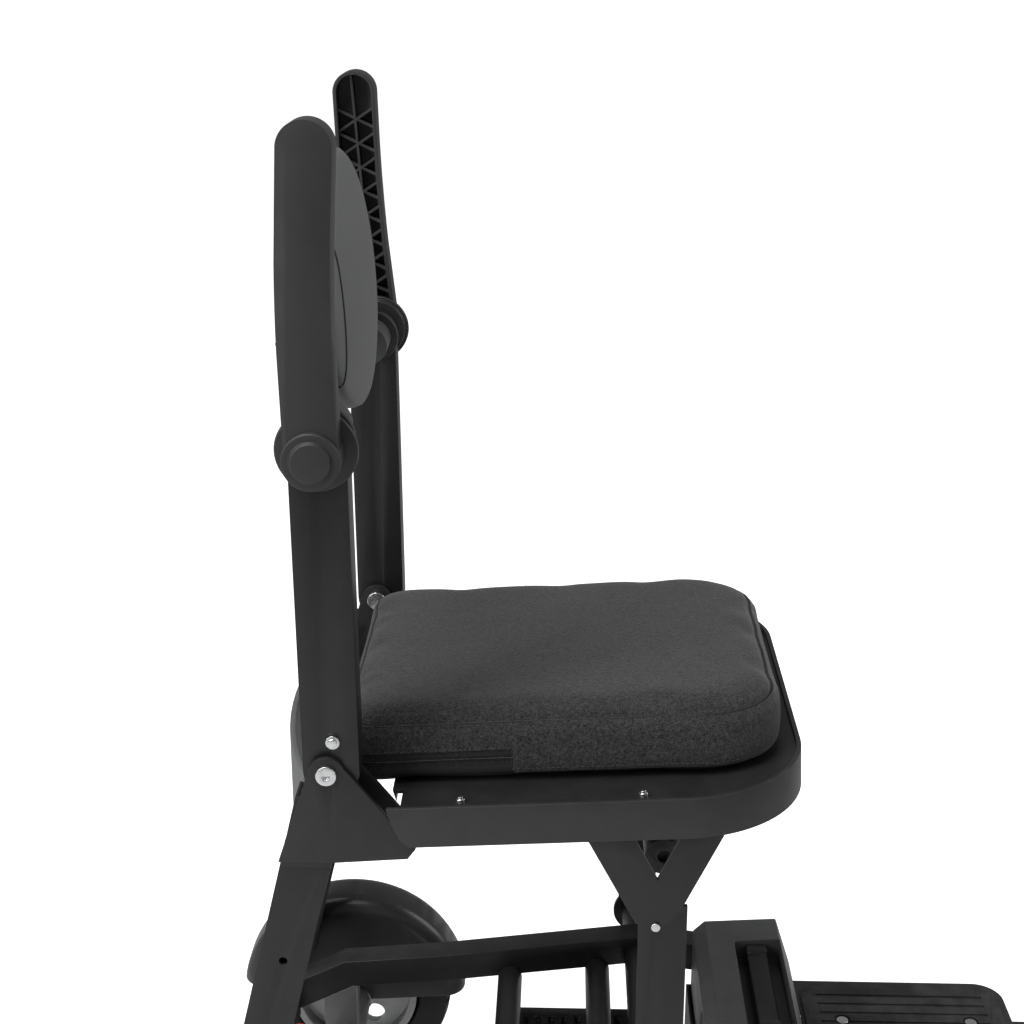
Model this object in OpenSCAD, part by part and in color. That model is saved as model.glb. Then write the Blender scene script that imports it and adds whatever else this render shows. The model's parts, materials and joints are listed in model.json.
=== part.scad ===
// Folding travel scooter: three wheels, cushioned seat, folding backrest and flip-up armrests.
// +X is forward, +Y is the rider's left, +Z is up. The ground is Z = 0.

/* [Seat] */
// Height of the backrest pivot above the ground
pivot_h = 535; // [480:5:600]
// Distance between the outer faces of the two backrest posts
post_span = 360; // [330:5:400]
// Length of the seat tray, front to back
tray_len = 302; // [280:2:340]
// Height of the tray's rim band
tray_rim_h = 31; // [24:1:40]
// Tilt of the seat, front edge up, in degrees
seat_tilt = 3.1; // [0:0.1:6]
// Thickness of the seat cushion
cushion_t = 50; // [35:1:65]

/* [Backrest and armrests] */
// Width of a backrest post, seen from the side
post_w = 40; // [34:1:46]
// Thickness of a backrest post
post_t = 24; // [18:1:28]
// Height of the armrest hinge above the backrest pivot
hinge_h = 238; // [190:4:262]
// Length of an armrest, hinge centre to tip centre
arm_len = 198; // [160:2:260]
// Width of an armrest
arm_w = 35; // [30:0.5:42]
// Thickness of an armrest
arm_t = 23; // [18:0.5:28]
// Height of the backrest pad
pad_h = 192; // [168:4:240]
// Width of the backrest pad
pad_w = 232; // [200:4:260]

/* [Chassis] */
// Radius of a rear wheel
rear_wheel_r = 95; // [85:1:100]
// Width of a rear tyre
rear_tyre_w = 46; // [38:1:50]
// Radius of the front wheel
front_wheel_r = 85; // [75:1:90]
// Width of the front tyre
front_tyre_w = 48; // [38:1:54]
// Distance between the rear and front axles
wheelbase = 751; // [720:1:800]
// Distance from one rear tyre's inner face to the other's
rear_gap = 384; // [382:1:420]
// Distance between the two chassis rails' centres
rail_gap = 224; // [216:2:240]
// Height of the floor pan above the ground
floor_h = 128; // [120:1:136]

/* [Tiller] */
// Distance from the tiller's tilt pin to the handlebar, raised
tiller_len = 522; // [480:2:560]
// Lean of the steering axis towards the rider, in degrees
rake = 5; // [3:0.5:7]
// Width over the handlebar grips
bar_w = 460; // [400:5:520]
// Outer radius of the lower tiller tube
tiller_r = 19; // [18:0.5:22]

/* [Walls and fits] */
// Wall of the frame's tubes
tube_wall = 2.5; // [2:0.25:3]
// Thickness of the pressed plates
plate_t = 4; // [3:0.5:5]
// Radial clearance of a turning fit
run_gap = 0.05; // [0.02:0.01:0.09]
// Gap between moving faces
side_gap = 0.5; // [0.3:0.1:1]

/* [Hidden] */
$fn = 48;

// Seat frame, in side view from the backrest pivot
leg_slope = 0.243;
leg_w = 36;
leg_foot_h = 150;
post_out = post_span / 2;
post_in = post_out - post_t;
gusset_in = post_out + side_gap;
tray_wall = 3.5;
tray_in = gusset_in + plate_t;
tray_out = tray_in + tray_wall;
arm_in = tray_out + 1;
arm_out = arm_in + arm_t;
tray_x0 = 40;
tray_z = -27;
tray_corner_r = 90;
tray_floor_drop = 4;
tray_pan_t = 3;
cushion_half = post_in - 6;
cushion_x0 = -6;
cushion_rear_r = 60;
cushion_len = tray_x0 + tray_len - 7 - cushion_x0;
cushion_z0 = tray_z - tray_floor_drop + 0.3;
hinge_x = 2;
pivot_bolt_r = 5;
arm_pin_r = 6;
hinge_flange_r = 28;
vee_x = 234;
rivet_z = -118;

// Chassis
rear_axle_x = -38;
front_axle_x = rear_axle_x + wheelbase;
rail_y = rail_gap / 2;
rail_t = 24;
rail_h = 26;
rear_tyre_in = rear_gap / 2;
tyre_mid_y = rear_tyre_in + rear_tyre_w / 2;
rim_r = 62;
front_rim_r = 54;
fender_clear = 12;
fender_skin = 3;
fender_side = 3;
shaft_r = 8;
housing_r = 17;
leg_foot_x = -(pivot_h - leg_foot_h) * leg_slope;
stem_foot_h = 205;
box_x0 = 286;
box_x1 = 374;
box_half = rail_y - rail_t / 2 - 4;
box_top = 252;
box_floor = floor_h - 6;
freewheel_at = [-70, 120];
tip_wheel_r = 30;
tip_wheel_x = -170;
tip_wheel_h = 38;
tip_wheel_y = 72;
tip_wheel_w = 22;
x_rear = tip_wheel_x - tip_wheel_r;
x_front = front_axle_x + front_wheel_r;
x_shift = -(x_rear + x_front) / 2;
deck_x0 = 332;
deck_x1 = front_axle_x - 124;
beam_x1 = front_axle_x - 104;
deck_half = 178;

// Steering column, along the steering axis from the front axle
crown_w = front_wheel_r + 14;
head_w0 = crown_w + 30;
head_len = 78;
steerer_r = 14;
head_bore = 18;
yoke_w = head_w0 + head_len + 8;
tilt_w = yoke_w + 34;
tilt_pin_r = 5;
lower_top = tilt_w + 345;
bar_height_w = tilt_w + tiller_len;
bar_axis_w = bar_height_w + 5;
inner_r = tiller_r - 3.5;
travel = 80;
housing_w0 = bar_height_w - 22;
housing_h = 42;
housing_half = 72;
cover_w = housing_w0 + housing_h;

// ---- helpers ----
function unit(v) = v / norm(v);

// Points along an arc, for an outline
function arc_points(centre, r, a0, a1, n = 6) =
    [for (i = [0 : n]) centre + r * [cos(a0 + (a1 - a0) * i / n), sin(a0 + (a1 - a0) * i / n)]];

module part_frame() translate([x_shift, 0, 0]) children();
module from_pivot() translate([0, 0, pivot_h]) children();
module seat_frame() from_pivot() rotate([0, -seat_tilt, 0]) children();
module steer_frame() translate([front_axle_x, 0, front_wheel_r]) rotate([0, -rake, 0]) children();
module both_sides() { children(); mirror([0, 1, 0]) children(); }

// A side-view outline (x, z) made solid from y0 to y1
module slab(y0, y1) translate([0, y1, 0]) rotate([90, 0, 0]) linear_extrude(y1 - y0) children();

// A round bar along Y
module y_bar(r, y0, y1, x = 0, z = 0) translate([x, y1, z]) rotate([90, 0, 0]) cylinder(r = r, h = y1 - y0);

// A washer-shaped bar along Y
module y_ring(r_out, r_in, y0, y1, x = 0, z = 0) difference() {
    y_bar(r_out, y0, y1, x, z);
    y_bar(r_in, y0 - 1, y1 + 1, x, z);
}

module rounded2d(size, r) {
    translate([r, 0]) square([size[0] - 2 * r, size[1]]);
    translate([0, r]) square([size[0], size[1] - 2 * r]);
    for (x = [r, size[0] - r], y = [r, size[1] - r]) translate([x, y]) circle(r);
}

// A straight bar in 2D between two points, w wide, square ends
module bar2d(a, b, w) {
    d = b - a;
    translate(a) rotate(atan2(d[1], d[0])) translate([0, -w / 2]) square([norm(d), w]);
}

// ---- chassis ----
rail_z = floor_h - rail_h / 2;
rail_knee_x = 385;
rail_path = [[leg_foot_x, leg_foot_h], [-30, 182], [57, 190], [vee_x, 213], [300, 205], [rail_knee_x, rail_z],
    [deck_x1 - 30, rail_z]];

// One edge of a bent bar: the path moved sideways by off, with mitred corners
function side_edge(path, off) = [for (i = [0 : len(path) - 1]) let (
    last = len(path) - 1,
    before = unit(path[max(i, 1)] - path[max(i, 1) - 1]),
    after = unit(path[min(i, last - 1) + 1] - path[min(i, last - 1)]),
    n = unit([-before[1] - after[1], before[0] + after[0]])
) path[i] + n * off / (n * [-before[1], before[0]])];

module rail_outline(inset = 0) {
    half = rail_h / 2 - inset;
    right = side_edge(rail_path, -half);
    left = side_edge(rail_path, half);
    polygon(concat(right, [for (i = [len(left) - 1 : -1 : 0]) left[i]]));
}

module chassis_rails() color("#33363a") both_sides() difference() {
    slab(rail_y - rail_t / 2, rail_y + rail_t / 2) rail_outline();
    slab(rail_y - rail_t / 2 + tube_wall, rail_y + rail_t / 2 - tube_wall) rail_outline(tube_wall);
    y_bar(14, 0, rail_y + rail_t, leg_foot_x, leg_foot_h);
    y_bar(14, 0, rail_y + rail_t, vee_x + 5, stem_foot_h);
}

module chassis_cross_tubes() color("#2c2f33") {
    y_ring(14, 11, -post_out, post_out, leg_foot_x, leg_foot_h);
    rail_in = rail_y - rail_t / 2;
    for (x = [120, 200]) y_ring(11, 9, -rail_in, rail_in, x, 176 + (x - 57) * 0.12);
    for (x = [410, deck_x1 - 90]) y_ring(10, 8, -rail_in, rail_in, x, rail_z);
    difference() {
        translate([deck_x1 - 30, -rail_y - rail_t / 2, rail_z - rail_h / 2])
            cube([beam_x1 - deck_x1 + 30, 2 * rail_y + rail_t, rail_h]);
        translate([deck_x1 - 30 + tube_wall, -rail_y, rail_z - rail_h / 2 + tube_wall])
            cube([beam_x1 - deck_x1 + 30 - 2 * tube_wall, 2 * rail_y, rail_h - 2 * tube_wall]);
    }
}

module floor_pan() color("#2e3034") difference() {
    translate([deck_x0, -deck_half, floor_h]) linear_extrude(plate_t)
        rounded2d([deck_x1 - deck_x0, 2 * deck_half], 26);
    translate([deck_x0 - 30, -(rail_y + rail_t / 2 + 3), floor_h - 1]) cube([rail_knee_x + 8 - deck_x0 + 30, 2 * rail_y + rail_t + 6, plate_t + 2]);
    for (y = [-rail_y, rail_y], x = [430, deck_x1 - 40]) translate([x, y, floor_h - 1]) cylinder(r = 3.1, h = plate_t + 2);
}

module floor_mat() color("#1d1e20") {
    mat_x0 = deck_x0 + 64;
    mat_len = deck_x1 - mat_x0 - 8;
    translate([mat_x0, -deck_half + 8, floor_h + plate_t]) difference() {
        linear_extrude(3) rounded2d([mat_len, 2 * deck_half - 16], 20);
        for (y = [24 : 14 : 2 * deck_half - 34]) translate([14, y, 1.8]) cube([mat_len - 28, 4, 2]);
        for (y = [-rail_y, rail_y], x = [430, deck_x1 - 40])
            translate([x - mat_x0, y + deck_half - 8, -1]) cylinder(r = 7, h = 6);
    }
}

module transaxle_case() color("#4a4d52") difference() {
    union() {
        y_bar(44, -38, 12, rear_axle_x, rear_wheel_r);
        y_bar(housing_r, -(post_out + 4), post_out + 4, rear_axle_x, rear_wheel_r);
        slab(-38, 12) bar2d([rear_axle_x, rear_wheel_r], [34, 112], 58);
        both_sides() slab(rail_y - rail_t / 2, rail_y + rail_t / 2) difference() {
            bar2d([rear_axle_x, rear_wheel_r], [rear_axle_x, 180], 30);
            rail_outline();
            translate([rear_axle_x - 20, 180]) square([40, 40]);
        }
        y_bar(4, 11, 21, freewheel_at[0], freewheel_at[1]);
    }
    y_bar(shaft_r + run_gap, -(post_out + 20), post_out + 20, rear_axle_x, rear_wheel_r);
}

module drive_motor() color("#3b3d41") {
    y_bar(27, -96, -38, 34, 112);
    y_bar(20, -103, -96, 34, 112);
    y_bar(24, 12, 34, 34, 112);
}

// A rear fender's section: radius from the axle, then distance from its inner face
function fender_section(r_lip, r_out, w, shoulder) = concat(
    [[housing_r + 0.3, 0], [r_out - shoulder, 0]],
    arc_points([r_out - shoulder, shoulder], shoulder, -90, 0),
    arc_points([r_out - shoulder, w - shoulder], shoulder, 0, 90),
    [[r_lip, w], [r_lip, w - fender_side]],
    arc_points([r_out - shoulder, w - shoulder], shoulder - fender_skin, 90, 0),
    arc_points([r_out - shoulder, shoulder], shoulder - fender_skin, 0, -90),
    [[housing_r + 0.3, fender_side]]);

module rear_fenders() color("#3a3c40") both_sides() {
    w = rear_tyre_w + 2 * (fender_side + 3);
    translate([rear_axle_x, rear_tyre_in - fender_side - 3 + w, rear_wheel_r]) rotate([90, 0, 0]) rotate([0, 0, 4])
        mirror([0, 0, 1]) translate([0, 0, -w]) rotate_extrude(angle = 168, $fn = 96)
            polygon(fender_section(rear_wheel_r - 3, rear_wheel_r + fender_clear + fender_skin, w, 18));
}

module battery_cradle() color("#2b2d30") {
    w_in = box_half + 1.2;
    difference() {
        translate([box_x0 - 4, -(w_in + 2), box_floor - 3]) cube([box_x1 - box_x0 + 8, 2 * w_in + 4, 60]);
        translate([box_x0 - 1.2, -w_in, box_floor]) cube([box_x1 - box_x0 + 2.4, 2 * w_in, 70]);
    }
    both_sides() translate([box_x0 + 8, w_in + 2, box_floor + 40])
        cube([40, rail_y - rail_t / 2 - w_in - 2, 17]);
}

module controller_box() color("#26282b") difference() {
    translate([108, -84, 118]) cube([122, 168, 44]);
    for (x = [120 : 12 : 216]) translate([x, -70, 158]) cube([5, 140, 5]);
}

module charge_port() color("#1b1c1e") {
    translate([150, -92, 140]) rotate([90, 0, 0]) cylinder(r = 13, h = 5);
    y_bar(16, -92, -84, 150, 140);
}

// ---- seat frame ----
module leg_outline(inset = 0) {
    foot = [leg_foot_x, leg_foot_h - pivot_h];
    top = [-24 * leg_slope, -24];
    bar2d(foot, top, leg_w - 2 * inset);
    translate(foot) circle(leg_w / 2 - inset);
}

module rear_legs() color("#2f3134") both_sides() from_pivot() difference() {
    slab(post_in, post_out) leg_outline();
    slab(post_in + tube_wall, post_out - tube_wall) leg_outline(tube_wall);
    y_bar(14, 0, post_out + 1, leg_foot_x, leg_foot_h - pivot_h);
    y_bar(3.2, post_in - 1, post_out + 1, -155 * leg_slope, -155);
    y_bar(post_w / 2 + side_gap, post_in - 1, post_out + 1);
}

module gusset_outline() {
    circle(13);
    polygon([[-12.6, 3.2], [12.2, 4.5], [62, -58], [56, -66], [4, -70], [-37, -70]]);
}

module gusset_plates() color("#2a2c2f") both_sides() from_pivot() difference() {
    union() {
        slab(gusset_in, gusset_in + plate_t) gusset_outline();
        slab(post_in - side_gap - plate_t, post_in - side_gap) gusset_outline();
        slab(post_out, gusset_in) intersection() {
            leg_outline();
            translate([-80, -76]) square([150, 50]);
        }
        slab(post_in - side_gap, post_in) intersection() {
            leg_outline();
            translate([-80, -76]) square([150, 50]);
        }
    }
    y_bar(pivot_bolt_r + 0.2, 0, 300);
}

module rear_cross_panel() color("#5a5c60") {
    bow = 30;
    arc_r = (post_in * post_in + bow * bow) / (2 * bow);
    translate([-20, 0, pivot_h - 108]) linear_extrude(88) intersection() {
        translate([arc_r - bow, 0]) difference() {
            circle(arc_r, $fn = 180);
            circle(arc_r - 5, $fn = 180);
        }
        translate([-60, -(post_in - 7)]) square([60, 2 * (post_in - 7)]);
    }
}

module tray_plan(inset = 0) {
    r = tray_corner_r - inset;
    rear_r = 22 - min(inset, 16);
    w = 2 * (tray_out - inset);
    x0 = tray_x0 + inset;
    x1 = tray_x0 + tray_len - inset;
    translate([x1 - r, -w / 2 + r]) circle(r, $fn = 96);
    translate([x1 - r, w / 2 - r]) circle(r, $fn = 96);
    translate([x0, -w / 2]) square([x1 - r - x0, w]);
    translate([x1 - r - 1, -w / 2 + r]) square([r + 1, w - 2 * r]);
}

module seat_tray() color("#3d3f42") seat_frame() difference() {
    translate([0, 0, tray_z - tray_rim_h]) linear_extrude(tray_rim_h) tray_plan();
    translate([0, 0, tray_z - tray_floor_drop]) linear_extrude(20) {
        tray_plan(tray_wall);
        translate([tray_x0 - 1, -cushion_half - 3]) square([10, 2 * cushion_half + 6]);
    }
    translate([0, 0, tray_z - tray_rim_h - 1]) linear_extrude(tray_rim_h - tray_floor_drop - tray_pan_t + 1) tray_plan(tray_wall);
    slab(-tray_out - 1, tray_out + 1) difference() {
        translate([tray_x0 - 20, tray_z - tray_rim_h - 1]) square([34, tray_rim_h + 2]);
        polygon([[tray_x0, tray_z + 1], [tray_x0 + 3, tray_z - 12],
            [tray_x0 + 8, tray_z - tray_rim_h + 6], [tray_x0 + 16, tray_z - tray_rim_h - 2], [tray_x0 + 60, tray_z + 1]]);
    }
    both_sides() {
        translate([tray_x0 - 5, post_in - side_gap - plate_t - 0.3, tray_z - tray_rim_h - 2])
            cube([50, tray_in - post_in + side_gap + plate_t + 0.3, tray_rim_h - tray_floor_drop]);
        translate([tray_x0 - 5, post_in - side_gap - plate_t - 0.3, tray_z - tray_rim_h - 2])
            cube([14, tray_in - post_in + side_gap + plate_t + 0.3, tray_rim_h + 3]);
    }
}

// Side view of all that lies above a plane drop below the pan of the tray
module above_tray_pan(drop) rotate(seat_tilt)
    translate([100, tray_z - tray_floor_drop - tray_pan_t - drop]) square([300, 90]);

module y_side_plates() color("#303235") both_sides() from_pivot() difference() {
    slab(gusset_in, gusset_in + plate_t) difference() {
        union() {
            bar2d([vee_x - 46, -24], [vee_x - 1, rivet_z + 9], 30);
            bar2d([vee_x + 42, -22], [vee_x + 1, rivet_z + 9], 26);
            bar2d([vee_x + 5, rivet_z + 17], [vee_x + 5, stem_foot_h - pivot_h], 35);
            translate([vee_x + 5, stem_foot_h - pivot_h]) circle(22);
        }
        above_tray_pan(8);
    }
    rotate([0, -seat_tilt, 0]) translate([0, 0, tray_z - tray_rim_h - 0.2]) linear_extrude(tray_rim_h) difference() {
        translate([vee_x, 0]) square([100, tray_out + 1]);
        tray_plan(tray_wall + 0.2);
    }
    y_bar(3.4, 0, 300, vee_x, rivet_z);
    y_bar(14, 0, 300, vee_x + 5, stem_foot_h - pivot_h);
}

module front_seat_tube() color("#2c2f33")
    y_ring(14, 11, -(gusset_in + plate_t), gusset_in + plate_t, vee_x + 5, stem_foot_h);

module seat_lug() color("#242628") from_pivot() {
    both_sides() {
        slab(62, 92) difference() {
            bar2d([vee_x - 16, -10], [vee_x + 9, rivet_z + 20], 26);
            above_tray_pan(0);
        }
        difference() {
            y_bar(15, 48, 106, vee_x + 10, rivet_z + 12);
            y_bar(5, 100, 107, vee_x + 10, rivet_z + 12);
        }
    }
}

module seat_cushion() color("#3a3a3c") seat_frame() translate([cushion_x0, -cushion_half, cushion_z0])
    linear_extrude(cushion_t) {
        r = 62;
        rear = cushion_rear_r;
        translate([cushion_len - r, r]) circle(r, $fn = 72);
        translate([cushion_len - r, 2 * cushion_half - r]) circle(r, $fn = 72);
        translate([0, rear]) square([cushion_len - r, 2 * (cushion_half - rear)]);
        translate([rear, 0]) square([cushion_len - r - rear, 2 * cushion_half]);
        translate([rear, rear]) circle(rear, $fn = 72);
        translate([rear, 2 * cushion_half - rear]) circle(rear, $fn = 72);
        translate([cushion_len - r - 1, r]) square([r + 1, 2 * cushion_half - 2 * r]);
    }

module frame_fasteners() color("#b9bcc0") {
    both_sides() {
        from_pivot() {
            y_bar(3.4, gusset_in - 1, gusset_in + plate_t + 1.5, vee_x, rivet_z);
            seat_frame_screws();
        }
        for (x = [430, deck_x1 - 40]) translate([x, rail_y, floor_h + plate_t]) cylinder(r = 5.5, h = 2.5);
    }
}

module seat_frame_screws() rotate([0, -seat_tilt, 0])
    for (x = [92, 222]) translate([x, tray_in - 12, tray_z - tray_floor_drop]) {
        cylinder(r = 3.6, h = 3);
        translate([0, 0, 3]) cylinder(r = 2.2, h = 1.5);
    }

// ---- head and neck ----
neck_knee = [front_axle_x - 91, 196];

module head_tube() color("#303236") difference() {
    union() {
        steer_frame() translate([0, 0, head_w0]) cylinder(r = 25, h = head_len);
        slab(-20, 20) {
            polygon([[deck_x1 + 0.3, floor_h], [beam_x1, floor_h], neck_knee + [13, -4], neck_knee + [-13, 4]]);
            translate(neck_knee) circle(13);
            bar2d(neck_knee, [front_axle_x - 21, front_wheel_r + head_w0 + head_len / 2 + 8], 26);
        }
    }
    steer_frame() translate([0, 0, head_w0 - 1]) cylinder(r = head_bore, h = head_len + 2);
}

module head_bearings() color("#c3c6ca") steer_frame() for (w = [head_w0, head_w0 + head_len - 12])
    translate([0, 0, w]) difference() {
        cylinder(r = head_bore, h = 12);
        translate([0, 0, -1]) cylinder(r = steerer_r + run_gap, h = 14);
    }

module anti_tip_arms() color("#2d2f32") both_sides() difference() {
    union() {
        for (y = [tip_wheel_y - tip_wheel_w / 2 - 6, tip_wheel_y + tip_wheel_w / 2 + 1])
            slab(y, y + 5) {
                bar2d([leg_foot_x, leg_foot_h], [tip_wheel_x, tip_wheel_h], 20);
                translate([tip_wheel_x, tip_wheel_h]) circle(12);
                translate([leg_foot_x, leg_foot_h]) circle(20);
            }
        y_bar(5, tip_wheel_y - tip_wheel_w / 2 - 6, tip_wheel_y + tip_wheel_w / 2 + 6, tip_wheel_x, tip_wheel_h);
    }
    y_bar(14, 0, 150, leg_foot_x, leg_foot_h);
}

module rear_reflectors() color("#b0161a") both_sides()
    translate([leg_foot_x - 15.5, 118, leg_foot_h - 13]) rotate([0, -90, 0]) linear_extrude(4) rounded2d([26, 30], 5);

cable_r = 3.5;
cable_path = [[224, 60, 128], [242, 60, 127], [256, 60, 116], [275, 58, 105], [300, 57, 99], [380, 55, 97],
    [460, 50, 97], [530, 44, 97], [deck_x1, 37, 95], [beam_x1 - 4, 31, 96], [beam_x1 + 5, 28, 106],
    [neck_knee[0] - 8, 25, 140], [neck_knee[0], 25, 190], [neck_knee[0] + 20, 25, 217], [neck_knee[0] + 40, 14, 234]];

// A point on the smooth curve through the path, u of the way along span i
function on_curve(path, i, u) = let (
    n = len(path) - 1,
    a = path[max(i - 1, 0)], b = path[i], c = path[min(i + 1, n)], d = path[min(i + 2, n)]
) 0.5 * (2 * b + (c - a) * u + (2 * a - 5 * b + 4 * c - d) * u * u + (3 * b - a - 3 * c + d) * u * u * u);

// A round cord swept along a path whose direction stays clear of the side vector
module swept_cord(path, r, side, steps = 3, sides = 8) {
    line = concat([for (i = [0 : len(path) - 2], k = [0 : steps - 1]) on_curve(path, i, k / steps)],
        [path[len(path) - 1]]);
    last = len(line) - 1;
    points = [for (i = [0 : last]) let (
        t = unit(line[min(i + 1, last)] - line[max(i - 1, 0)]),
        u = unit(cross(t, side)),
        v = cross(t, u)
    ) for (k = [0 : sides - 1]) line[i] + r * (cos(360 * k / sides) * u + sin(360 * k / sides) * v)];
    walls = [for (i = [0 : last - 1], k = [0 : sides - 1]) let (n = (k + 1) % sides)
        [i * sides + n, i * sides + k, (i + 1) * sides + k, (i + 1) * sides + n]];
    ends = [[for (k = [0 : sides - 1]) k], [for (k = [sides - 1 : -1 : 0]) last * sides + k]];
    polyhedron(points = points, faces = concat(walls, ends));
}

module power_cable() color("#141415") swept_cord(cable_path, cable_r, [0.42, 0, -0.91]);

module pivot_bolts() color("#d0d2d5") both_sides() from_pivot() difference() {
    union() {
        y_bar(pivot_bolt_r, post_in - side_gap - plate_t - 5, gusset_in + plate_t);
        y_bar(7.4, gusset_in + plate_t, gusset_in + plate_t + 3.1);
        y_bar(8, post_in - side_gap - plate_t - 5, post_in - side_gap - plate_t);
    }
    y_bar(3, gusset_in + plate_t + 0.6, gusset_in + plate_t + 4, $fn = 6);
}

// ---- wheels ----
module tyre(r, w, bead_r) rotate([90, 0, 0]) translate([0, 0, -w / 2]) rotate_extrude($fn = 96) difference() {
    translate([bead_r, 0]) rounded2d([r - bead_r, w], 12);
    for (y = [w * 0.3, w * 0.5, w * 0.7]) translate([r - 2, y - 1.2]) square([4, 2.4]);
}

module wheel_rim(r, w, bore_r) rotate([90, 0, 0]) difference() {
    union() {
        translate([0, 0, -w / 2 + 4]) difference() {
            cylinder(r = r, h = w - 8, $fn = 96);
            translate([0, 0, -1]) cylinder(r = r - 7, h = w, $fn = 96);
        }
        translate([0, 0, -w / 2 + 2]) cylinder(r = 20, h = w - 4);
        translate([0, 0, -4]) cylinder(r = r - 6, h = 8, $fn = 96);
    }
    for (a = [0 : 60 : 300]) rotate(a) translate([r * 0.58, 0, -6]) cylinder(r = r * 0.16, h = 12);
    translate([0, 0, -w]) cylinder(r = bore_r, h = 2 * w);
}

module rear_tyre(side) translate([rear_axle_x, side * tyre_mid_y, rear_wheel_r])
    tyre(rear_wheel_r, rear_tyre_w, rim_r);

module rear_rim(side) {
    translate([rear_axle_x, side * tyre_mid_y, rear_wheel_r]) wheel_rim(rim_r, rear_tyre_w, shaft_r);
    mirror([0, side > 0 ? 0 : 1, 0]) {
        y_bar(shaft_r, 14 + (side > 0 ? 0 : 26), tyre_mid_y + rear_tyre_w / 2 + 2, rear_axle_x, rear_wheel_r);
        y_bar(15, tyre_mid_y + rear_tyre_w / 2 - 2, tyre_mid_y + rear_tyre_w / 2 + 2, rear_axle_x, rear_wheel_r);
    }
}

module rear_tyre_right() color("#1a1a1b") rear_tyre(-1);
module rear_rim_right() color("#7c7f83") rear_rim(-1);
module rear_tyre_left() color("#1a1a1b") rear_tyre(1);
module rear_rim_left() color("#7c7f83") rear_rim(1);

module anti_tip_wheel(side) translate([tip_wheel_x, side * tip_wheel_y, tip_wheel_h]) rotate([90, 0, 0])
    rotate_extrude() translate([5 + run_gap, -tip_wheel_w / 2 + 0.5])
        rounded2d([tip_wheel_r - 5 - run_gap, tip_wheel_w - 1], 4);
module anti_tip_wheel_right() color("#202122") anti_tip_wheel(-1);
module anti_tip_wheel_left() color("#202122") anti_tip_wheel(1);

// ---- fork ----
fork_in = front_tyre_w / 2 + 5;

module steering_fork() color("#2f3134") steer_frame() difference() {
    union() {
        both_sides() slab(fork_in, fork_in + 6) {
            bar2d([0, 0], [0, crown_w + 10], 34);
            circle(17);
        }
        translate([-22, -(fork_in + 6), crown_w]) cube([44, 2 * fork_in + 12, 16]);
        translate([0, 0, crown_w + 15]) cylinder(r = steerer_r + 6, h = head_w0 - crown_w - 16);
        translate([0, 0, crown_w + 15]) cylinder(r = steerer_r, h = yoke_w + 14 - crown_w - 15);
    }
    y_bar(6, -60, 60);
}

module fork_axle() color("#b4b7bb") steer_frame() {
    y_bar(6, -(fork_in + 10), fork_in + 10);
    both_sides() y_bar(10, fork_in + 6, fork_in + 12);
}

module front_fender() color("#3a3c40") steer_frame() {
    r0 = front_wheel_r + 7;
    w = front_tyre_w + 6;
    rotate([90, 0, 0]) rotate([0, 0, 32]) rotate_extrude(angle = 128, $fn = 96) translate([0, -w / 2]) difference() {
        translate([r0 - 16, 0]) rounded2d([18.5, w], 8);
        translate([r0 - 17, 2.5]) rounded2d([17, w - 5], 6);
        translate([r0 - 17, -1]) square([8, w + 2]);
    }
    translate([-16, -20, r0 + 2.4]) cube([32, 40, crown_w - r0 - 2.4]);
}

module tiller_yoke() color("#35373b") steer_frame() difference() {
    union() {
        translate([-24, -26, yoke_w]) cube([48, 52, 14]);
        both_sides() slab(14, 26) {
            translate([-20, yoke_w + 2]) square([40, tilt_w - yoke_w - 2]);
            translate([0, tilt_w]) circle(20);
        }
        translate([-44, -8, yoke_w + 1]) cube([22, 3.4, 16]);
        translate([-44, 4.6, yoke_w + 1]) cube([22, 3.4, 16]);
        y_bar(tilt_pin_r, -26, 26, 0, tilt_w);
        y_bar(2.5, -8, 8, -36, yoke_w + 10);
    }
    translate([0, 0, yoke_w - 1]) cylinder(r = steerer_r, h = 16);
}

module front_tyre() color("#1a1a1b") steer_frame() tyre(front_wheel_r, front_tyre_w, front_rim_r);
module front_rim() color("#7c7f83") steer_frame() wheel_rim(front_rim_r, front_tyre_w, 6 + run_gap);

// ---- tiller ----
module tiller_tube_lower() color("#2f3134") steer_frame() difference() {
    union() {
        slab(-13.5, 13.5) {
            translate([0, tilt_w]) circle(17);
            translate([-14, tilt_w]) square([28, 34]);
        }
        translate([0, 0, tilt_w + 28]) cylinder(r = tiller_r, h = lower_top - tilt_w - 28);
        translate([0, 0, lower_top - 24]) cylinder(r = tiller_r + 4, h = 24);
        for (y = [-9.5, 5.5]) translate([-38, y, lower_top - 20]) cube([22, 4, 16]);
        y_bar(2.5, -9.5, 9.5, -33, lower_top - 12);
    }
    y_bar(tilt_pin_r + run_gap, -30, 30, 0, tilt_w);
    translate([0, 0, tilt_w + 60]) cylinder(r = inner_r + run_gap, h = lower_top - tilt_w);
}

module tiller_tube_upper() color("#9fa2a6") steer_frame() difference() {
    translate([0, 0, tilt_w + 62 + travel]) cylinder(r = inner_r, h = housing_w0 + 14 - tilt_w - 62 - travel);
    translate([0, 0, tilt_w + 60 + travel]) cylinder(r = inner_r - 2.5, h = housing_w0 + 14 - tilt_w - 64 - travel);
}

module control_housing() color("#242527") steer_frame() difference() {
    translate([-42, -housing_half, housing_w0]) linear_extrude(housing_h) rounded2d([80, 2 * housing_half], 20);
    translate([-38.5, -housing_half + 3.5, housing_w0 + 21]) linear_extrude(housing_h) rounded2d([73, 2 * housing_half - 7], 16.5);
    translate([0, 0, housing_w0 - 1]) cylinder(r = inner_r, h = 15);
    y_bar(11, -bar_w, bar_w, 4, bar_axis_w);
}

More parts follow.
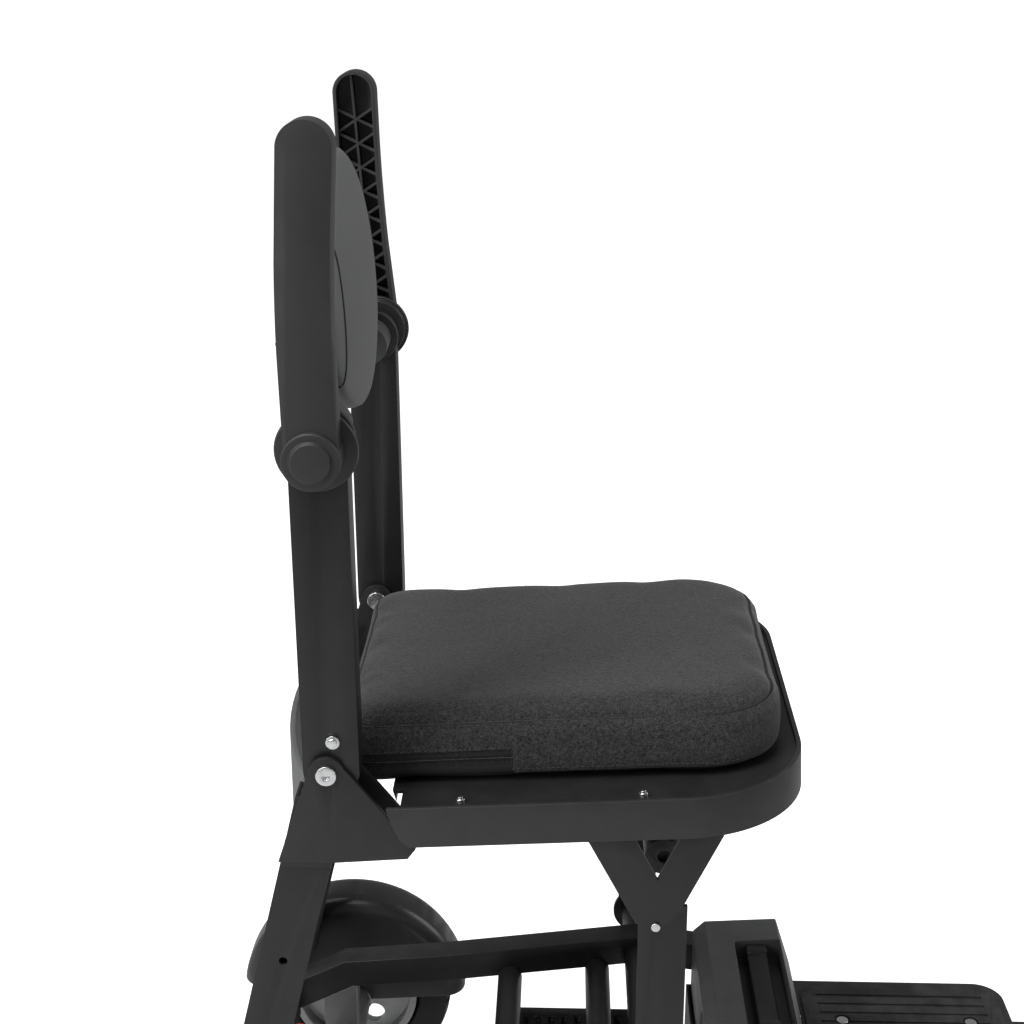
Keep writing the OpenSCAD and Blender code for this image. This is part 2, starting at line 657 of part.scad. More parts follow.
module control_cover() color("#2c2d30") steer_frame() difference() {
    translate([-42, -housing_half, cover_w]) linear_extrude(6) rounded2d([80, 2 * housing_half], 20);
    translate([-8, -42, cover_w - 1]) cylinder(r = 3 + run_gap, h = 9);
    translate([-8, 42, cover_w - 1]) cylinder(r = 3.5 + run_gap, h = 9);
    translate([-24, 0, cover_w - 1]) cylinder(r = 7 + run_gap, h = 9);
    translate([-4, -22, cover_w + 4.5]) cube([24, 44, 2]);
}

module handlebar() color("#2a2b2e") steer_frame() y_ring(11, 8.5, -bar_w / 2, bar_w / 2, 4, bar_axis_w);

module hand_grips() color("#161617") steer_frame() both_sides() difference() {
    y_bar(15.5, bar_w / 2 - 112, bar_w / 2 + 4, 4, bar_axis_w);
    y_bar(11, bar_w / 2 - 113, bar_w / 2, 4, bar_axis_w);
}

module headlight() color("#dfe6ea") steer_frame() translate([38, 0, housing_w0 + 20]) rotate([0, 90, 0]) {
    cylinder(r = 15, h = 4);
    translate([0, 0, 4]) cylinder(r1 = 15, r2 = 11, h = 3);
}

module wigwag_lever() color("#1e1f21") steer_frame() translate([0, 0, housing_w0 - 11]) difference() {
    linear_extrude(8) difference() {
        union() {
            circle(24);
            translate([-46, -112]) rounded2d([20, 224], 9);
            translate([-34, -14]) square([34, 28]);
        }
        circle(inner_r + run_gap);
    }
    for (y = [-96 : 8 : -64]) translate([-47, y, -1]) cube([3, 3, 10]);
    for (y = [64 : 8 : 96]) translate([-47, y, -1]) cube([3, 3, 10]);
}

module speed_dial() color("#1a1b1c") steer_frame() translate([-8, -42, cover_w]) {
    translate([0, 0, -3]) cylinder(r = 3, h = 9.4);
    translate([0, 0, 6.4]) difference() {
        cylinder(r = 14, h = 10);
        for (a = [0 : 30 : 330]) rotate(a) translate([15, 0, -1]) cylinder(r = 2, h = 12, $fn = 16);
        translate([-1, 4, 9]) cube([2, 9, 2]);
    }
}

module ignition_key() color("#8d9094") steer_frame() translate([-8, 42, cover_w]) {
    translate([0, 0, -3]) cylinder(r = 3.5, h = 10);
    difference() {
        translate([-2, -10, 6.4]) cube([4, 20, 22]);
        translate([-3, 0, 20]) rotate([0, 90, 0]) cylinder(r = 3, h = 6);
    }
}

module horn_button() color("#8e1c1c") steer_frame() translate([-24, 0, cover_w + 2]) {
    cylinder(r = 7, h = 8);
    translate([0, 0, -2]) cylinder(r = 4, h = 2);
}

module height_clamp_lever() color("#4c4e52") steer_frame() difference() {
    slab(-5, 5) {
        translate([-33, lower_top - 12]) circle(6.5);
        bar2d([-33, lower_top - 12], [-36, lower_top - 68], 9);
        translate([-36, lower_top - 68]) circle(4.5);
    }
    y_bar(2.5 + run_gap, -6, 6, -33, lower_top - 12);
}

module tilt_release_lever() color("#a3201f") steer_frame() difference() {
    slab(-4.1, 4.1) {
        translate([-36, yoke_w + 10]) circle(6);
        bar2d([-36, yoke_w + 10], [-76, yoke_w + 14], 8);
        translate([-76, yoke_w + 14]) circle(6);
    }
    y_bar(2.5 + run_gap, -6, 6, -36, yoke_w + 10);
}

// ---- backrest ----
post_lean = (4 - hinge_x) / hinge_h;

// Side view of a post: a bar with round ends, from the pivot up to the hinge
module post_outline() {
    top = [3 - hinge_h * post_lean, hinge_h];
    polygon(concat(arc_points([3, 0], post_w / 2, 180, 360, 14), arc_points(top, post_w / 2, 0, 180, 14)));
}

module backrest_posts() color("#303235") both_sides() from_pivot() difference() {
    slab(post_in, post_out) post_outline();
    slab(post_in + tube_wall, post_out - tube_wall)
        bar2d([3 - 32 * post_lean, 32], [3 - (hinge_h - 32) * post_lean, hinge_h - 32], post_w - 2 * tube_wall);
    y_bar(pivot_bolt_r + run_gap, 0, 300);
    y_bar(arm_pin_r, 0, 300, hinge_x, hinge_h);
}

module hinge_flanges() color("#2a2b2d") both_sides() from_pivot() {
    y_bar(hinge_flange_r - 3, post_out, post_out + 4, hinge_x, hinge_h);
    y_bar(hinge_flange_r, post_out + 4, arm_in - 0.4, hinge_x, hinge_h);
    y_bar(arm_pin_r, post_in - 4, arm_out - 4, hinge_x, hinge_h);
    difference() {
        y_bar(22, post_in - 6, post_in, hinge_x, hinge_h);
        y_bar(arm_pin_r, post_in - 4, post_in + 1, hinge_x, hinge_h);
    }
}

pad_mid_z = hinge_h - 16 + pad_h / 2;

// Front view of the pad: an egg, a little narrower at the top
module pad_front_view() polygon([for (a = [0 : 9 : 351])
    [pad_w / 2 * cos(a) * (1 - 0.12 * sin(a)), pad_mid_z + pad_h / 2 * sin(a)]]);

// Side view of all that lies behind a line that bulges forward by sag over 240 mm
module behind_bulge(x_front, sag) {
    r = (120 * 120 + sag * sag) / (2 * sag);
    translate([x_front - r, pad_mid_z - 33]) circle(r, $fn = 144);
}

module pad_body(x_front, x_back, sag = 18) intersection() {
    rotate([90, 0, 90]) translate([0, 0, -80]) linear_extrude(160) pad_front_view();
    slab(-200, 200) difference() {
        behind_bulge(x_front, sag);
        behind_bulge(x_back, 18);
    }
}

module backrest_pad() color("#6d6e70") from_pivot() pad_body(21, -8, 20);

// The shell's arm at one hinge, in side view
module shell_arm() {
    translate([hinge_x, hinge_h]) circle(16);
    bar2d([hinge_x, hinge_h], [-20, pad_mid_z - 14], 18);
}

module backrest_shell() color("#4b4c4e") from_pivot() difference() {
    union() {
        pad_body(-8.4, -14);
        both_sides() {
            slab(pad_w / 2 + side_gap, post_in - 6) shell_arm();
            slab(pad_w / 2 - 20, pad_w / 2 + side_gap) intersection() {
                shell_arm();
                behind_bulge(-8.4, 18);
            }
        }
    }
    y_bar(3, -200, 200, hinge_x, hinge_h);
}

module stop_studs() color("#c9cbce") both_sides() from_pivot() {
    y_bar(5, post_out, post_out + 3, 5, 24);
    y_bar(3, post_out + 3, post_out + 4, 5, 24);
}

// ---- armrests ----
module arm_outline(inset = 0) {
    half = arm_w / 2 - inset;
    n = 14;
    bow = [for (i = [0 : n]) -3 * sin(180 * i / n)];
    polygon(concat([for (i = [0 : n]) [bow[i] - half, arm_len * i / n]],
        [for (i = [n : -1 : 0]) [bow[i] + half, arm_len * i / n]]));
    circle(half + 1);
    translate([0, arm_len]) circle(half);
}

module arm_ribs() {
    cell = 20;
    n = floor((arm_len - 36) / cell);
    rib = 2;
    intersection() {
        arm_outline(1);
        union() {
            translate([-rib / 2 - 1.5, 20]) square([rib, arm_len]);
            for (i = [0 : n - 1]) {
                z0 = 26 + i * cell;
                bar2d([-arm_w / 2, z0], [arm_w / 2, z0 + cell], rib);
                bar2d([arm_w / 2, z0], [-arm_w / 2, z0 + cell], rib);
            }
        }
    }
}

module armrest_body(lean) from_pivot() translate([hinge_x, 0, hinge_h]) rotate([0, -lean, 0]) {
    difference() {
        union() {
            slab(arm_out - 4, arm_out) arm_outline();
            slab(arm_in, arm_out - 3) difference() {
                arm_outline();
                arm_outline(3);
            }
            slab(arm_in + 5, arm_out - 3) arm_ribs();
            y_bar(19, arm_in, arm_out - 3);
            y_bar(19.5, arm_out - 1, arm_out + 3.5);
            y_bar(13.5, arm_out + 3, arm_out + 6);
        }
        y_bar(arm_pin_r + run_gap, arm_in - 1, arm_out - 3.5);
    }
}

arm_rest_lean = [-0.8, 4.2];
module armrest_right() color("#3c3d3f") mirror([0, 1, 0]) armrest_body(arm_rest_lean[0]);
module armrest_left() color("#3c3d3f") armrest_body(arm_rest_lean[1]);

// ---- battery ----
module battery_case() color("#5b5e62") difference() {
    slab(-box_half, box_half) polygon([[box_x0, box_floor + 0.4], [box_x1, box_floor + 0.4],
        [box_x1, box_top - 44], [box_x1 - 14, box_top], [box_x0 + 10, box_top - 4], [box_x0, box_top - 14]]);
    translate([box_x0 + 34, -box_half + 34, box_top - 22]) cube([40, 2 * box_half - 68, 40]);
    translate([box_x0 - 1, -26, box_top - 40]) rotate([0, 90, 0]) cylinder(r = 20, h = 16);
}

module battery_handle() color("#26282a") difference() {
    union() {
        translate([box_x0 + 44, -box_half + 34, box_top - 17]) cube([18, 2 * box_half - 68, 12]);
        for (y = [-box_half + 34, box_half - 46]) translate([box_x0 + 44, y, box_top - 22]) cube([18, 12, 8]);
    }
    translate([box_x0 + 43, -box_half + 46, box_top - 8]) cube([20, 2 * box_half - 92, 4]);
}

module freewheel_lever() color("#b3201e") difference() {
    slab(14, 19) {
        translate(freewheel_at) circle(9);
        bar2d(freewheel_at, freewheel_at + [8, 58], 11);
        translate(freewheel_at + [8, 58]) circle(8);
    }
    y_bar(4 + run_gap, 10, 24, freewheel_at[0], freewheel_at[1]);
}

part_frame() chassis_rails();
part_frame() chassis_cross_tubes();
part_frame() floor_pan();
part_frame() floor_mat();
part_frame() transaxle_case();
part_frame() drive_motor();
part_frame() rear_fenders();
part_frame() battery_cradle();
part_frame() controller_box();
part_frame() charge_port();
part_frame() rear_legs();
part_frame() gusset_plates();
part_frame() rear_cross_panel();
part_frame() seat_tray();
part_frame() y_side_plates();
part_frame() front_seat_tube();
part_frame() seat_lug();
part_frame() seat_cushion();
part_frame() frame_fasteners();
part_frame() head_tube();
part_frame() head_bearings();
part_frame() anti_tip_arms();
part_frame() rear_reflectors();
part_frame() power_cable();
part_frame() pivot_bolts();
part_frame() rear_tyre_right();
part_frame() rear_rim_right();
part_frame() rear_tyre_left();
part_frame() rear_rim_left();
part_frame() anti_tip_wheel_right();
part_frame() anti_tip_wheel_left();
part_frame() steering_fork();
part_frame() fork_axle();
part_frame() front_fender();
part_frame() tiller_yoke();
part_frame() front_tyre();
part_frame() front_rim();
part_frame() tiller_tube_lower();
part_frame() tiller_tube_upper();
part_frame() control_housing();
part_frame() control_cover();
part_frame() handlebar();
part_frame() hand_grips();
part_frame() headlight();
part_frame() wigwag_lever();
part_frame() speed_dial();
part_frame() ignition_key();
part_frame() horn_button();
part_frame() height_clamp_lever();
part_frame() tilt_release_lever();
part_frame() backrest_posts();
part_frame() hinge_flanges();
part_frame() backrest_shell();
part_frame() backrest_pad();
part_frame() stop_studs();
part_frame() armrest_right();
part_frame() armrest_left();
part_frame() battery_case();
part_frame() battery_handle();
part_frame() freewheel_lever();
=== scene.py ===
import json
from math import atan2, pi, radians, tau

import bmesh
import bpy
from mathutils import Matrix, Vector

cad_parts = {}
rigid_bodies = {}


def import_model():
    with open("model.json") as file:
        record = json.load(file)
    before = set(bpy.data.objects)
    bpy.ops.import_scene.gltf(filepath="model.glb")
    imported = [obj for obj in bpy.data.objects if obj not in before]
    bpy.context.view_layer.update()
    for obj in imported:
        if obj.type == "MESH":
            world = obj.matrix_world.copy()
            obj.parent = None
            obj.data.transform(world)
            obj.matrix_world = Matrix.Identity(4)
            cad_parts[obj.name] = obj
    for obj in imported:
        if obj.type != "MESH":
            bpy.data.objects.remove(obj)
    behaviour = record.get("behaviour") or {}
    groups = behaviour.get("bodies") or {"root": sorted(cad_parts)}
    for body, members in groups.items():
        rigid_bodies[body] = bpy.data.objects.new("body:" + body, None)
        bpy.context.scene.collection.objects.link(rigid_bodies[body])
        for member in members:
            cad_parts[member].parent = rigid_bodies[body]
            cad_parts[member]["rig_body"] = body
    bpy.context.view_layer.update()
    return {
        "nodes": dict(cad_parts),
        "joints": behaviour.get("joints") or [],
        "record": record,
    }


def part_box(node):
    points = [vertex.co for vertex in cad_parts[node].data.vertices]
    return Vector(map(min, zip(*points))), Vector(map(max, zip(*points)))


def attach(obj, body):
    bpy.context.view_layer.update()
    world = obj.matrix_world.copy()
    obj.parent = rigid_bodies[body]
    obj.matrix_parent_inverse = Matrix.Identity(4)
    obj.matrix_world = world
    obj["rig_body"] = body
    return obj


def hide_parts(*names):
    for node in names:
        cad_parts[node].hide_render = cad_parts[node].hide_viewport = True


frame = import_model()
nodes = frame["nodes"]
record = frame["record"]
slot_of = {part["node"]: part["material_slot"] for part in record["subparts"]}
joints = {joint["name"]: joint for joint in frame["joints"]}
mm = 0.001
bpy.ops.object.select_all(action="DESELECT")

# Reference points, from the joints
pivot = Vector(joints["backrest_fold"]["pos_m"])
front_axle = Vector(joints["front_wheel_spin"]["pos_m"])
seat_tilt = radians(3.1)
rake = radians(5)
seat_frame = Matrix.Translation(pivot) @ Matrix.Rotation(-seat_tilt, 4, "Y")
steer_frame = Matrix.Translation(front_axle) @ Matrix.Rotation(-rake, 4, "Y")


# ---- camera, light and floor ----
def add_camera():
    data = bpy.data.cameras.new("camera")
    data.lens = 60.08
    data.sensor_width = 36
    camera = bpy.data.objects.new("camera", data)
    camera.location = (-0.1352, -1.2582, 1.0925)
    camera.rotation_euler = (pi / 2 - 0.32447, 0, 0.03096)
    bpy.context.scene.collection.objects.link(camera)
    bpy.context.scene.camera = camera


def add_softbox(name, place, aim, size, power):
    data = bpy.data.lights.new(name, "AREA")
    data.shape = "RECTANGLE"
    data.size, data.size_y = size
    data.energy = power
    light = bpy.data.objects.new(name, data)
    light.location = place
    light.rotation_euler = (Vector(aim) - Vector(place)).to_track_quat("-Z", "Y").to_euler()
    bpy.context.scene.collection.objects.link(light)


def add_floor():
    bpy.ops.mesh.primitive_plane_add(size=9, location=(0, 1.2, 0))
    floor = bpy.context.object
    floor.name = "studio_floor"
    material = bpy.data.materials.new("studio_paper")
    material.use_nodes = True
    tree = material.node_tree
    shader = tree.nodes["Principled BSDF"]
    shader.inputs["Base Color"].default_value = (0.8, 0.8, 0.8, 1)
    shader.inputs["Roughness"].default_value = 0.9
    shader.inputs["Emission Color"].default_value = (1, 1, 1, 1)
    seen = tree.nodes.new("ShaderNodeLightPath")
    glow = tree.nodes.new("ShaderNodeMapRange")
    glow.inputs["To Min"].default_value = 0.05
    glow.inputs["To Max"].default_value = 1.0
    tree.links.new(seen.outputs["Is Camera Ray"], glow.inputs["Value"])
    tree.links.new(glow.outputs[0], shader.inputs["Emission Strength"])
    floor.data.materials.append(material)


def add_world():
    """A white backdrop for the eye, which lights the object at a lower strength"""
    world = bpy.data.worlds.new("studio")
    world.use_nodes = True
    tree = world.node_tree
    backdrop = tree.nodes["Background"]
    backdrop.inputs["Color"].default_value = (1, 1, 1, 1)
    strength = tree.nodes.new("ShaderNodeMapRange")
    strength.inputs["To Min"].default_value = 0.2
    strength.inputs["To Max"].default_value = 1.05
    seen = tree.nodes.new("ShaderNodeLightPath")
    tree.links.new(seen.outputs["Is Camera Ray"], strength.inputs["Value"])
    tree.links.new(strength.outputs[0], backdrop.inputs["Strength"])
    bpy.context.scene.world = world


bpy.context.scene.view_settings.view_transform = "Standard"
add_camera()
add_world()
add_floor()
add_softbox("top_softbox", (-0.9, -0.7, 2.5), (-0.15, 0, 0.5), (1.3, 1.0), 30)
add_softbox("left_softbox", (-1.9, -1.5, 1.6), (-0.3, 0, 0.6), (0.9, 1.6), 22)
add_softbox("front_softbox", (1.9, 0.4, 1.5), (-0.1, 0, 0.6), (0.9, 1.6), 14)


# ---- shader groups ----
def make_group(name, values, colours=(), outputs=("Mask",)):
    """A shader group with number inputs and colour inputs, and its input and output nodes"""
    group = bpy.data.node_groups.new(name, "ShaderNodeTree")
    for label, value in values:
        socket = group.interface.new_socket(label, in_out="INPUT", socket_type="NodeSocketFloat")
        socket.default_value = value
    for label in colours:
        group.interface.new_socket(label, in_out="INPUT", socket_type="NodeSocketColor")
    for label in outputs:
        kind = "NodeSocketColor" if label.endswith("Color") else "NodeSocketFloat"
        group.interface.new_socket(label, in_out="OUTPUT", socket_type=kind)
    return group, group.nodes.new("NodeGroupInput"), group.nodes.new("NodeGroupOutput")


def math_node(tree, operation, first, second=None):
    node = tree.nodes.new("ShaderNodeMath")
    node.operation = operation
    for socket, value in zip(node.inputs, (first, second)):
        if isinstance(value, (int, float)):
            socket.default_value = value
        elif value is not None:
            tree.links.new(value, socket)
    return node.outputs[0]


def ramp_node(tree, value, low, high, to_low=0.0, to_high=1.0):
    node = tree.nodes.new("ShaderNodeMapRange")
    node.inputs["From Min"].default_value = low
    node.inputs["From Max"].default_value = high
    node.inputs["To Min"].default_value = to_low
    node.inputs["To Max"].default_value = to_high
    tree.links.new(value, node.inputs["Value"])
    return node.outputs[0]


def noise_node(tree, vector, scale, detail=2.0, rough=0.5):
    node = tree.nodes.new("ShaderNodeTexNoise")
    node.inputs["Detail"].default_value = detail
    node.inputs["Roughness"].default_value = rough
    tree.links.new(vector, node.inputs["Vector"])
    if isinstance(scale, (int, float)):
        node.inputs["Scale"].default_value = scale
    else:
        tree.links.new(scale, node.inputs["Scale"])
    return node.outputs["Fac"]


def mix_colour(tree, fac, first, second):
    node = tree.nodes.new("ShaderNodeMix")
    node.data_type = "RGBA"
    for socket, value in ((node.inputs[0], fac), (node.inputs[6], first), (node.inputs[7], second)):
        if isinstance(value, (int, float, tuple)):
            socket.default_value = value
        else:
            tree.links.new(value, socket)
    return node.outputs[2]


def edge_wear_group():
    """Where a convex edge is rubbed lighter: 0 on flats, up to Amount on edges"""
    group, inputs, outputs = make_group("edge_wear", [("Amount", 0.5), ("Patch Scale", 60)])
    geometry = group.nodes.new("ShaderNodeNewGeometry")
    place = group.nodes.new("ShaderNodeTexCoord").outputs["Object"]
    edge = ramp_node(group, geometry.outputs["Pointiness"], 0.505, 0.56)
    patches = ramp_node(group, noise_node(group, place, inputs.outputs["Patch Scale"]), 0.25, 0.6, 0.45, 1.0)
    mask = math_node(group, "MULTIPLY", math_node(group, "MULTIPLY", edge, patches), inputs.outputs["Amount"])
    group.links.new(mask, outputs.inputs["Mask"])
    return group


def grain_group():
    """The fine stipple of powder coat or moulded texture, and a slow change of tone"""
    group, inputs, outputs = make_group("surface_grain", [("Scale", 900), ("Tone Scale", 9)],
                                        outputs=("Height", "Tone"))
    place = group.nodes.new("ShaderNodeTexCoord").outputs["Object"]
    fine = noise_node(group, place, inputs.outputs["Scale"], 3.0, 0.6)
    pits = group.nodes.new("ShaderNodeTexVoronoi")
    group.links.new(place, pits.inputs["Vector"])
    group.links.new(inputs.outputs["Scale"], pits.inputs["Scale"])
    height = math_node(group, "ADD", math_node(group, "MULTIPLY", fine, 0.6),
                       math_node(group, "MULTIPLY", pits.outputs["Distance"], 0.4))
    group.links.new(height, outputs.inputs["Height"])
    group.links.new(noise_node(group, place, inputs.outputs["Tone Scale"], 4.0, 0.6), outputs.inputs["Tone"])
    return group


def dust_group():
    """Fine dust that lies on faces that look up, in patches"""
    group, inputs, outputs = make_group("settled_dust", [("Amount", 0.1)])
    geometry = group.nodes.new("ShaderNodeNewGeometry")
    split = group.nodes.new("ShaderNodeSeparateXYZ")
    group.links.new(geometry.outputs["Normal"], split.inputs[0])
    place = group.nodes.new("ShaderNodeTexCoord").outputs["Object"]
    upward = ramp_node(group, split.outputs["Z"], 0.35, 1.0)
    cloud = ramp_node(group, noise_node(group, place, 35, 5.0, 0.65), 0.4, 0.75)
    mask = math_node(group, "MULTIPLY", math_node(group, "MULTIPLY", upward, cloud), inputs.outputs["Amount"])
    group.links.new(mask, outputs.inputs["Mask"])
    return group


def melange_group():
    """A knitted melange cloth: light and dark fibres, their height, and slubs"""
    group, inputs, outputs = make_group(
        "melange_cloth", [("Thread Scale", 900)], ("Dark", "Light"), ("Color", "Height"))
    place = group.nodes.new("ShaderNodeTexCoord").outputs["Object"]
    scale = inputs.outputs["Thread Scale"]
    fibre = noise_node(group, place, scale, 2.0, 0.75)
    slub = noise_node(group, place, 330, 3.0, 0.7)
    loops = group.nodes.new("ShaderNodeTexVoronoi")
    loops.feature = "SMOOTH_F1"
    group.links.new(place, loops.inputs["Vector"])
    group.links.new(scale, loops.inputs["Scale"])
    blend = math_node(group, "ADD", ramp_node(group, fibre, 0.38, 0.66, 0, 0.62),
                      ramp_node(group, slub, 0.42, 0.7, 0, 0.38))
    group.links.new(mix_colour(group, blend, inputs.outputs["Dark"], inputs.outputs["Light"]),
                    outputs.inputs["Color"])
    height = math_node(group, "ADD", math_node(group, "MULTIPLY", loops.outputs["Distance"], 0.7),
                       math_node(group, "MULTIPLY", fibre, 0.5))
    group.links.new(height, outputs.inputs["Height"])
    return group


edge_wear = edge_wear_group()
surface_grain = grain_group()
settled_dust = dust_group()
melange_cloth = melange_group()


# ---- materials ----
def new_material(name):
    material = bpy.data.materials.new(name)
    material.use_nodes = True
    return material, material.node_tree, material.node_tree.nodes["Principled BSDF"]


def use_group(tree, group, **values):
    node = tree.nodes.new("ShaderNodeGroup")
    node.node_tree = group
    for label, value in values.items():
        node.inputs[label.replace("_", " ")].default_value = value
    return node


def add_bump(tree, shader, height, depth, strength=1.0):
    bump = tree.nodes.new("ShaderNodeBump")
    bump.inputs["Strength"].default_value = strength
    bump.inputs["Distance"].default_value = depth
    tree.links.new(height, bump.inputs["Height"])
    tree.links.new(bump.outputs["Normal"], shader.inputs["Normal"])


def grey(value, tint=0.0):
    """A linear grey with a slight cool tint"""
    return (value * (1 - tint), value, value * (1 + tint), 1)


def coated(name, tone, rough, grain=900, depth=0.00005, wear=0.35, dust=0.05, metallic=0.0, coat=0.0,
           tint=0.015):
    """Powder coat or moulded plastic: toned grain, lighter edges, a little dust"""
    material, tree, shader = new_material(name)
    texture = use_group(tree, surface_grain, Scale=grain, Tone_Scale=9)
    worn = use_group(tree, edge_wear, Amount=wear, Patch_Scale=60)
    dusty = use_group(tree, settled_dust, Amount=dust)
    base = mix_colour(tree, texture.outputs["Tone"], grey(tone * 0.86, tint), grey(tone * 1.14, tint))
    rubbed = mix_colour(tree, worn.outputs["Mask"], base, grey(tone * 2.2 + 0.02, tint))
    tree.links.new(mix_colour(tree, dusty.outputs["Mask"], rubbed, grey(0.3)), shader.inputs["Base Color"])
    tree.links.new(ramp_node(tree, texture.outputs["Tone"], 0.3, 0.7, rough - 0.05, rough + 0.06),
                   shader.inputs["Roughness"])
    shader.inputs["Metallic"].default_value = metallic
    shader.inputs["Coat Weight"].default_value = coat
    shader.inputs["Coat Roughness"].default_value = 0.3
    add_bump(tree, shader, texture.outputs["Height"], depth)
    return material


def bare_metal(name, tone, rough, stretch=(1, 1, 1), grain=400, depth=0.00002):
    """Bare or anodised metal with a brushed or cast grain"""
    material, tree, shader = new_material(name)
    place = tree.nodes.new("ShaderNodeTexCoord")
    mapping = tree.nodes.new("ShaderNodeMapping")
    mapping.inputs["Scale"].default_value = stretch
    tree.links.new(place.outputs["Object"], mapping.inputs["Vector"])
    brushed = noise_node(tree, mapping.outputs["Vector"], grain, 3.0, 0.6)
    worn = use_group(tree, edge_wear, Amount=0.3, Patch_Scale=80)
    base = mix_colour(tree, brushed, grey(tone * 0.86, 0.01), grey(tone * 1.1, 0.01))
    tree.links.new(mix_colour(tree, worn.outputs["Mask"], base, grey(min(1, tone * 1.5))),
                   shader.inputs["Base Color"])
    tree.links.new(ramp_node(tree, brushed, 0.3, 0.7, rough - 0.06, rough + 0.08), shader.inputs["Roughness"])
    shader.inputs["Metallic"].default_value = 1.0
    add_bump(tree, shader, brushed, depth)
    return material


def cloth(name, dark, light, thread=900, depth=0.0006, sheen=0.25):
    """Melange upholstery cloth"""
    material, tree, shader = new_material(name)
    weave = use_group(tree, melange_cloth, Thread_Scale=thread, Dark=grey(dark), Light=grey(light))
    dusty = use_group(tree, settled_dust, Amount=0.03)
    tree.links.new(mix_colour(tree, dusty.outputs["Mask"], weave.outputs["Color"], grey(0.25)),
                   shader.inputs["Base Color"])
    shader.inputs["Roughness"].default_value = 0.92
    shader.inputs["Specular IOR Level"].default_value = 0.2
    shader.inputs["Sheen Weight"].default_value = sheen
    shader.inputs["Sheen Roughness"].default_value = 0.5
    add_bump(tree, shader, weave.outputs["Height"], depth, 0.8)
    return material


def lens(name, colour, clear=False):
    """A moulded lens with prism lines behind the surface"""
    material, tree, shader = new_material(name)
    place = tree.nodes.new("ShaderNodeTexCoord")
    prisms = tree.nodes.new("ShaderNodeTexWave")
    prisms.inputs["Scale"].default_value = 120
    tree.links.new(place.outputs["Object"], prisms.inputs["Vector"])
    tree.links.new(mix_colour(tree, prisms.outputs["Fac"], tuple(0.6 * c for c in colour[:3]) + (1,), colour),
                   shader.inputs["Base Color"])
    shader.inputs["Roughness"].default_value = 0.12
    shader.inputs["Coat Weight"].default_value = 0.6
    if clear:
        shader.inputs["Transmission Weight"].default_value = 0.5
    add_bump(tree, shader, prisms.outputs["Fac"], 0.0002)
    return material


finishes = {
    "frame_black": coated("frame_powder_coat", 0.014, 0.4),
    "post_black": coated("post_powder_coat", 0.01, 0.38),
    "tray_black": coated("tray_powder_coat", 0.022, 0.4),
    "deck_alloy": coated("deck_paint", 0.036, 0.5, metallic=0.2),
    "arm_plastic": coated("armrest_moulding", 0.026, 0.44, grain=700, depth=0.00004),
    "hinge_plastic": coated("hinge_moulding", 0.024, 0.38, grain=700),
    "pad_skin": coated("back_pad_skin", 0.16, 0.58, grain=1200, depth=0.00004, wear=0.1),
    "shell_plastic": coated("back_shell_moulding", 0.075, 0.5),
    "panel_plastic": coated("rear_panel_moulding", 0.12, 0.48),
    "fender_plastic": coated("fender_moulding", 0.022, 0.34, grain=500, depth=0.00003, coat=0.15),
    "case_plastic": coated("battery_moulding", 0.1, 0.45, grain=600),
    "dark_plastic": coated("dark_moulding", 0.013, 0.4),
    "cast_alloy": bare_metal("cast_alloy", 0.32, 0.48, grain=250, depth=0.0001),
    "tube_alloy": bare_metal("anodised_tube", 0.62, 0.28, stretch=(1, 1, 0.03), grain=900),
    "rim_alloy": bare_metal("rim_alloy", 0.42, 0.36, grain=300),
    "bright_steel": bare_metal("zinc_steel", 0.78, 0.22, grain=600),
    "tyre_rubber": coated("tyre_rubber", 0.022, 0.72, grain=500, depth=0.0001, wear=0.2, dust=0.18),
    "grip_rubber": coated("grip_rubber", 0.018, 0.66, grain=800, depth=0.0001, dust=0.06),
    "mat_rubber": coated("mat_rubber", 0.02, 0.7, grain=600, depth=0.0001, dust=0.2),
    "cable_rubber": coated("cable_rubber", 0.014, 0.5, grain=500),
    "red_plastic": coated("red_moulding", 0.1, 0.32, wear=0.1, coat=0.4),
    "red_lens": lens("red_prism_lens", (0.55, 0.01, 0.015, 1)),
    "clear_lens": lens("clear_prism_lens", (0.85, 0.88, 0.9, 1), clear=True),
    "cushion_fabric": cloth("seat_melange", 0.008, 0.085),
}
under_cloth = coated("seat_base_cloth", 0.022, 0.7, grain=1500, depth=0.0001, wear=0.0)
zip_tape = cloth("zip_tape", 0.01, 0.04, thread=1600, depth=0.0002)
zip_nylon = coated("zip_nylon", 0.02, 0.35, wear=0.2)
thread_grey = coated("sewing_thread", 0.09, 0.6, grain=2500, depth=0.0002, wear=0.0)
# A near-black used only for the thin cords laid in seam crevices: painted shade, not a real black part.
painted_crevice_shade = coated("painted_crevice_shade", 0.012, 0.4)


def tint_red():
    """Turns the red moulding's greys into a clear red"""
    tree = finishes["red_plastic"].node_tree
    shader = tree.nodes["Principled BSDF"]
    source = shader.inputs["Base Color"].links[0].from_socket
    red = tree.nodes.new("ShaderNodeMix")
    red.data_type = "RGBA"
    red.blend_type = "MULTIPLY"
    red.inputs[0].default_value = 1.0
    red.inputs[7].default_value = (1.0, 0.07, 0.06, 1)
    bright = tree.nodes.new("ShaderNodeMix")
    bright.data_type = "RGBA"
    bright.blend_type = "ADD"
    bright.inputs[0].default_value = 1.0
    bright.inputs[7].default_value = (0.35, 0, 0, 1)
    tree.links.new(source, bright.inputs[6])
    tree.links.new(bright.outputs[2], red.inputs[6])
    tree.links.new(red.outputs[2], shader.inputs["Base Color"])


tint_red()


def finish_with(piece, material):
    piece.data.materials.clear()
    piece.data.materials.append(material)


for name, node in nodes.items():
    for index in range(max(1, len(node.data.materials))):
        if node.data.materials:
            node.data.materials[index] = finishes[slot_of[name]]
        else:
            node.data.materials.append(finishes[slot_of[name]])


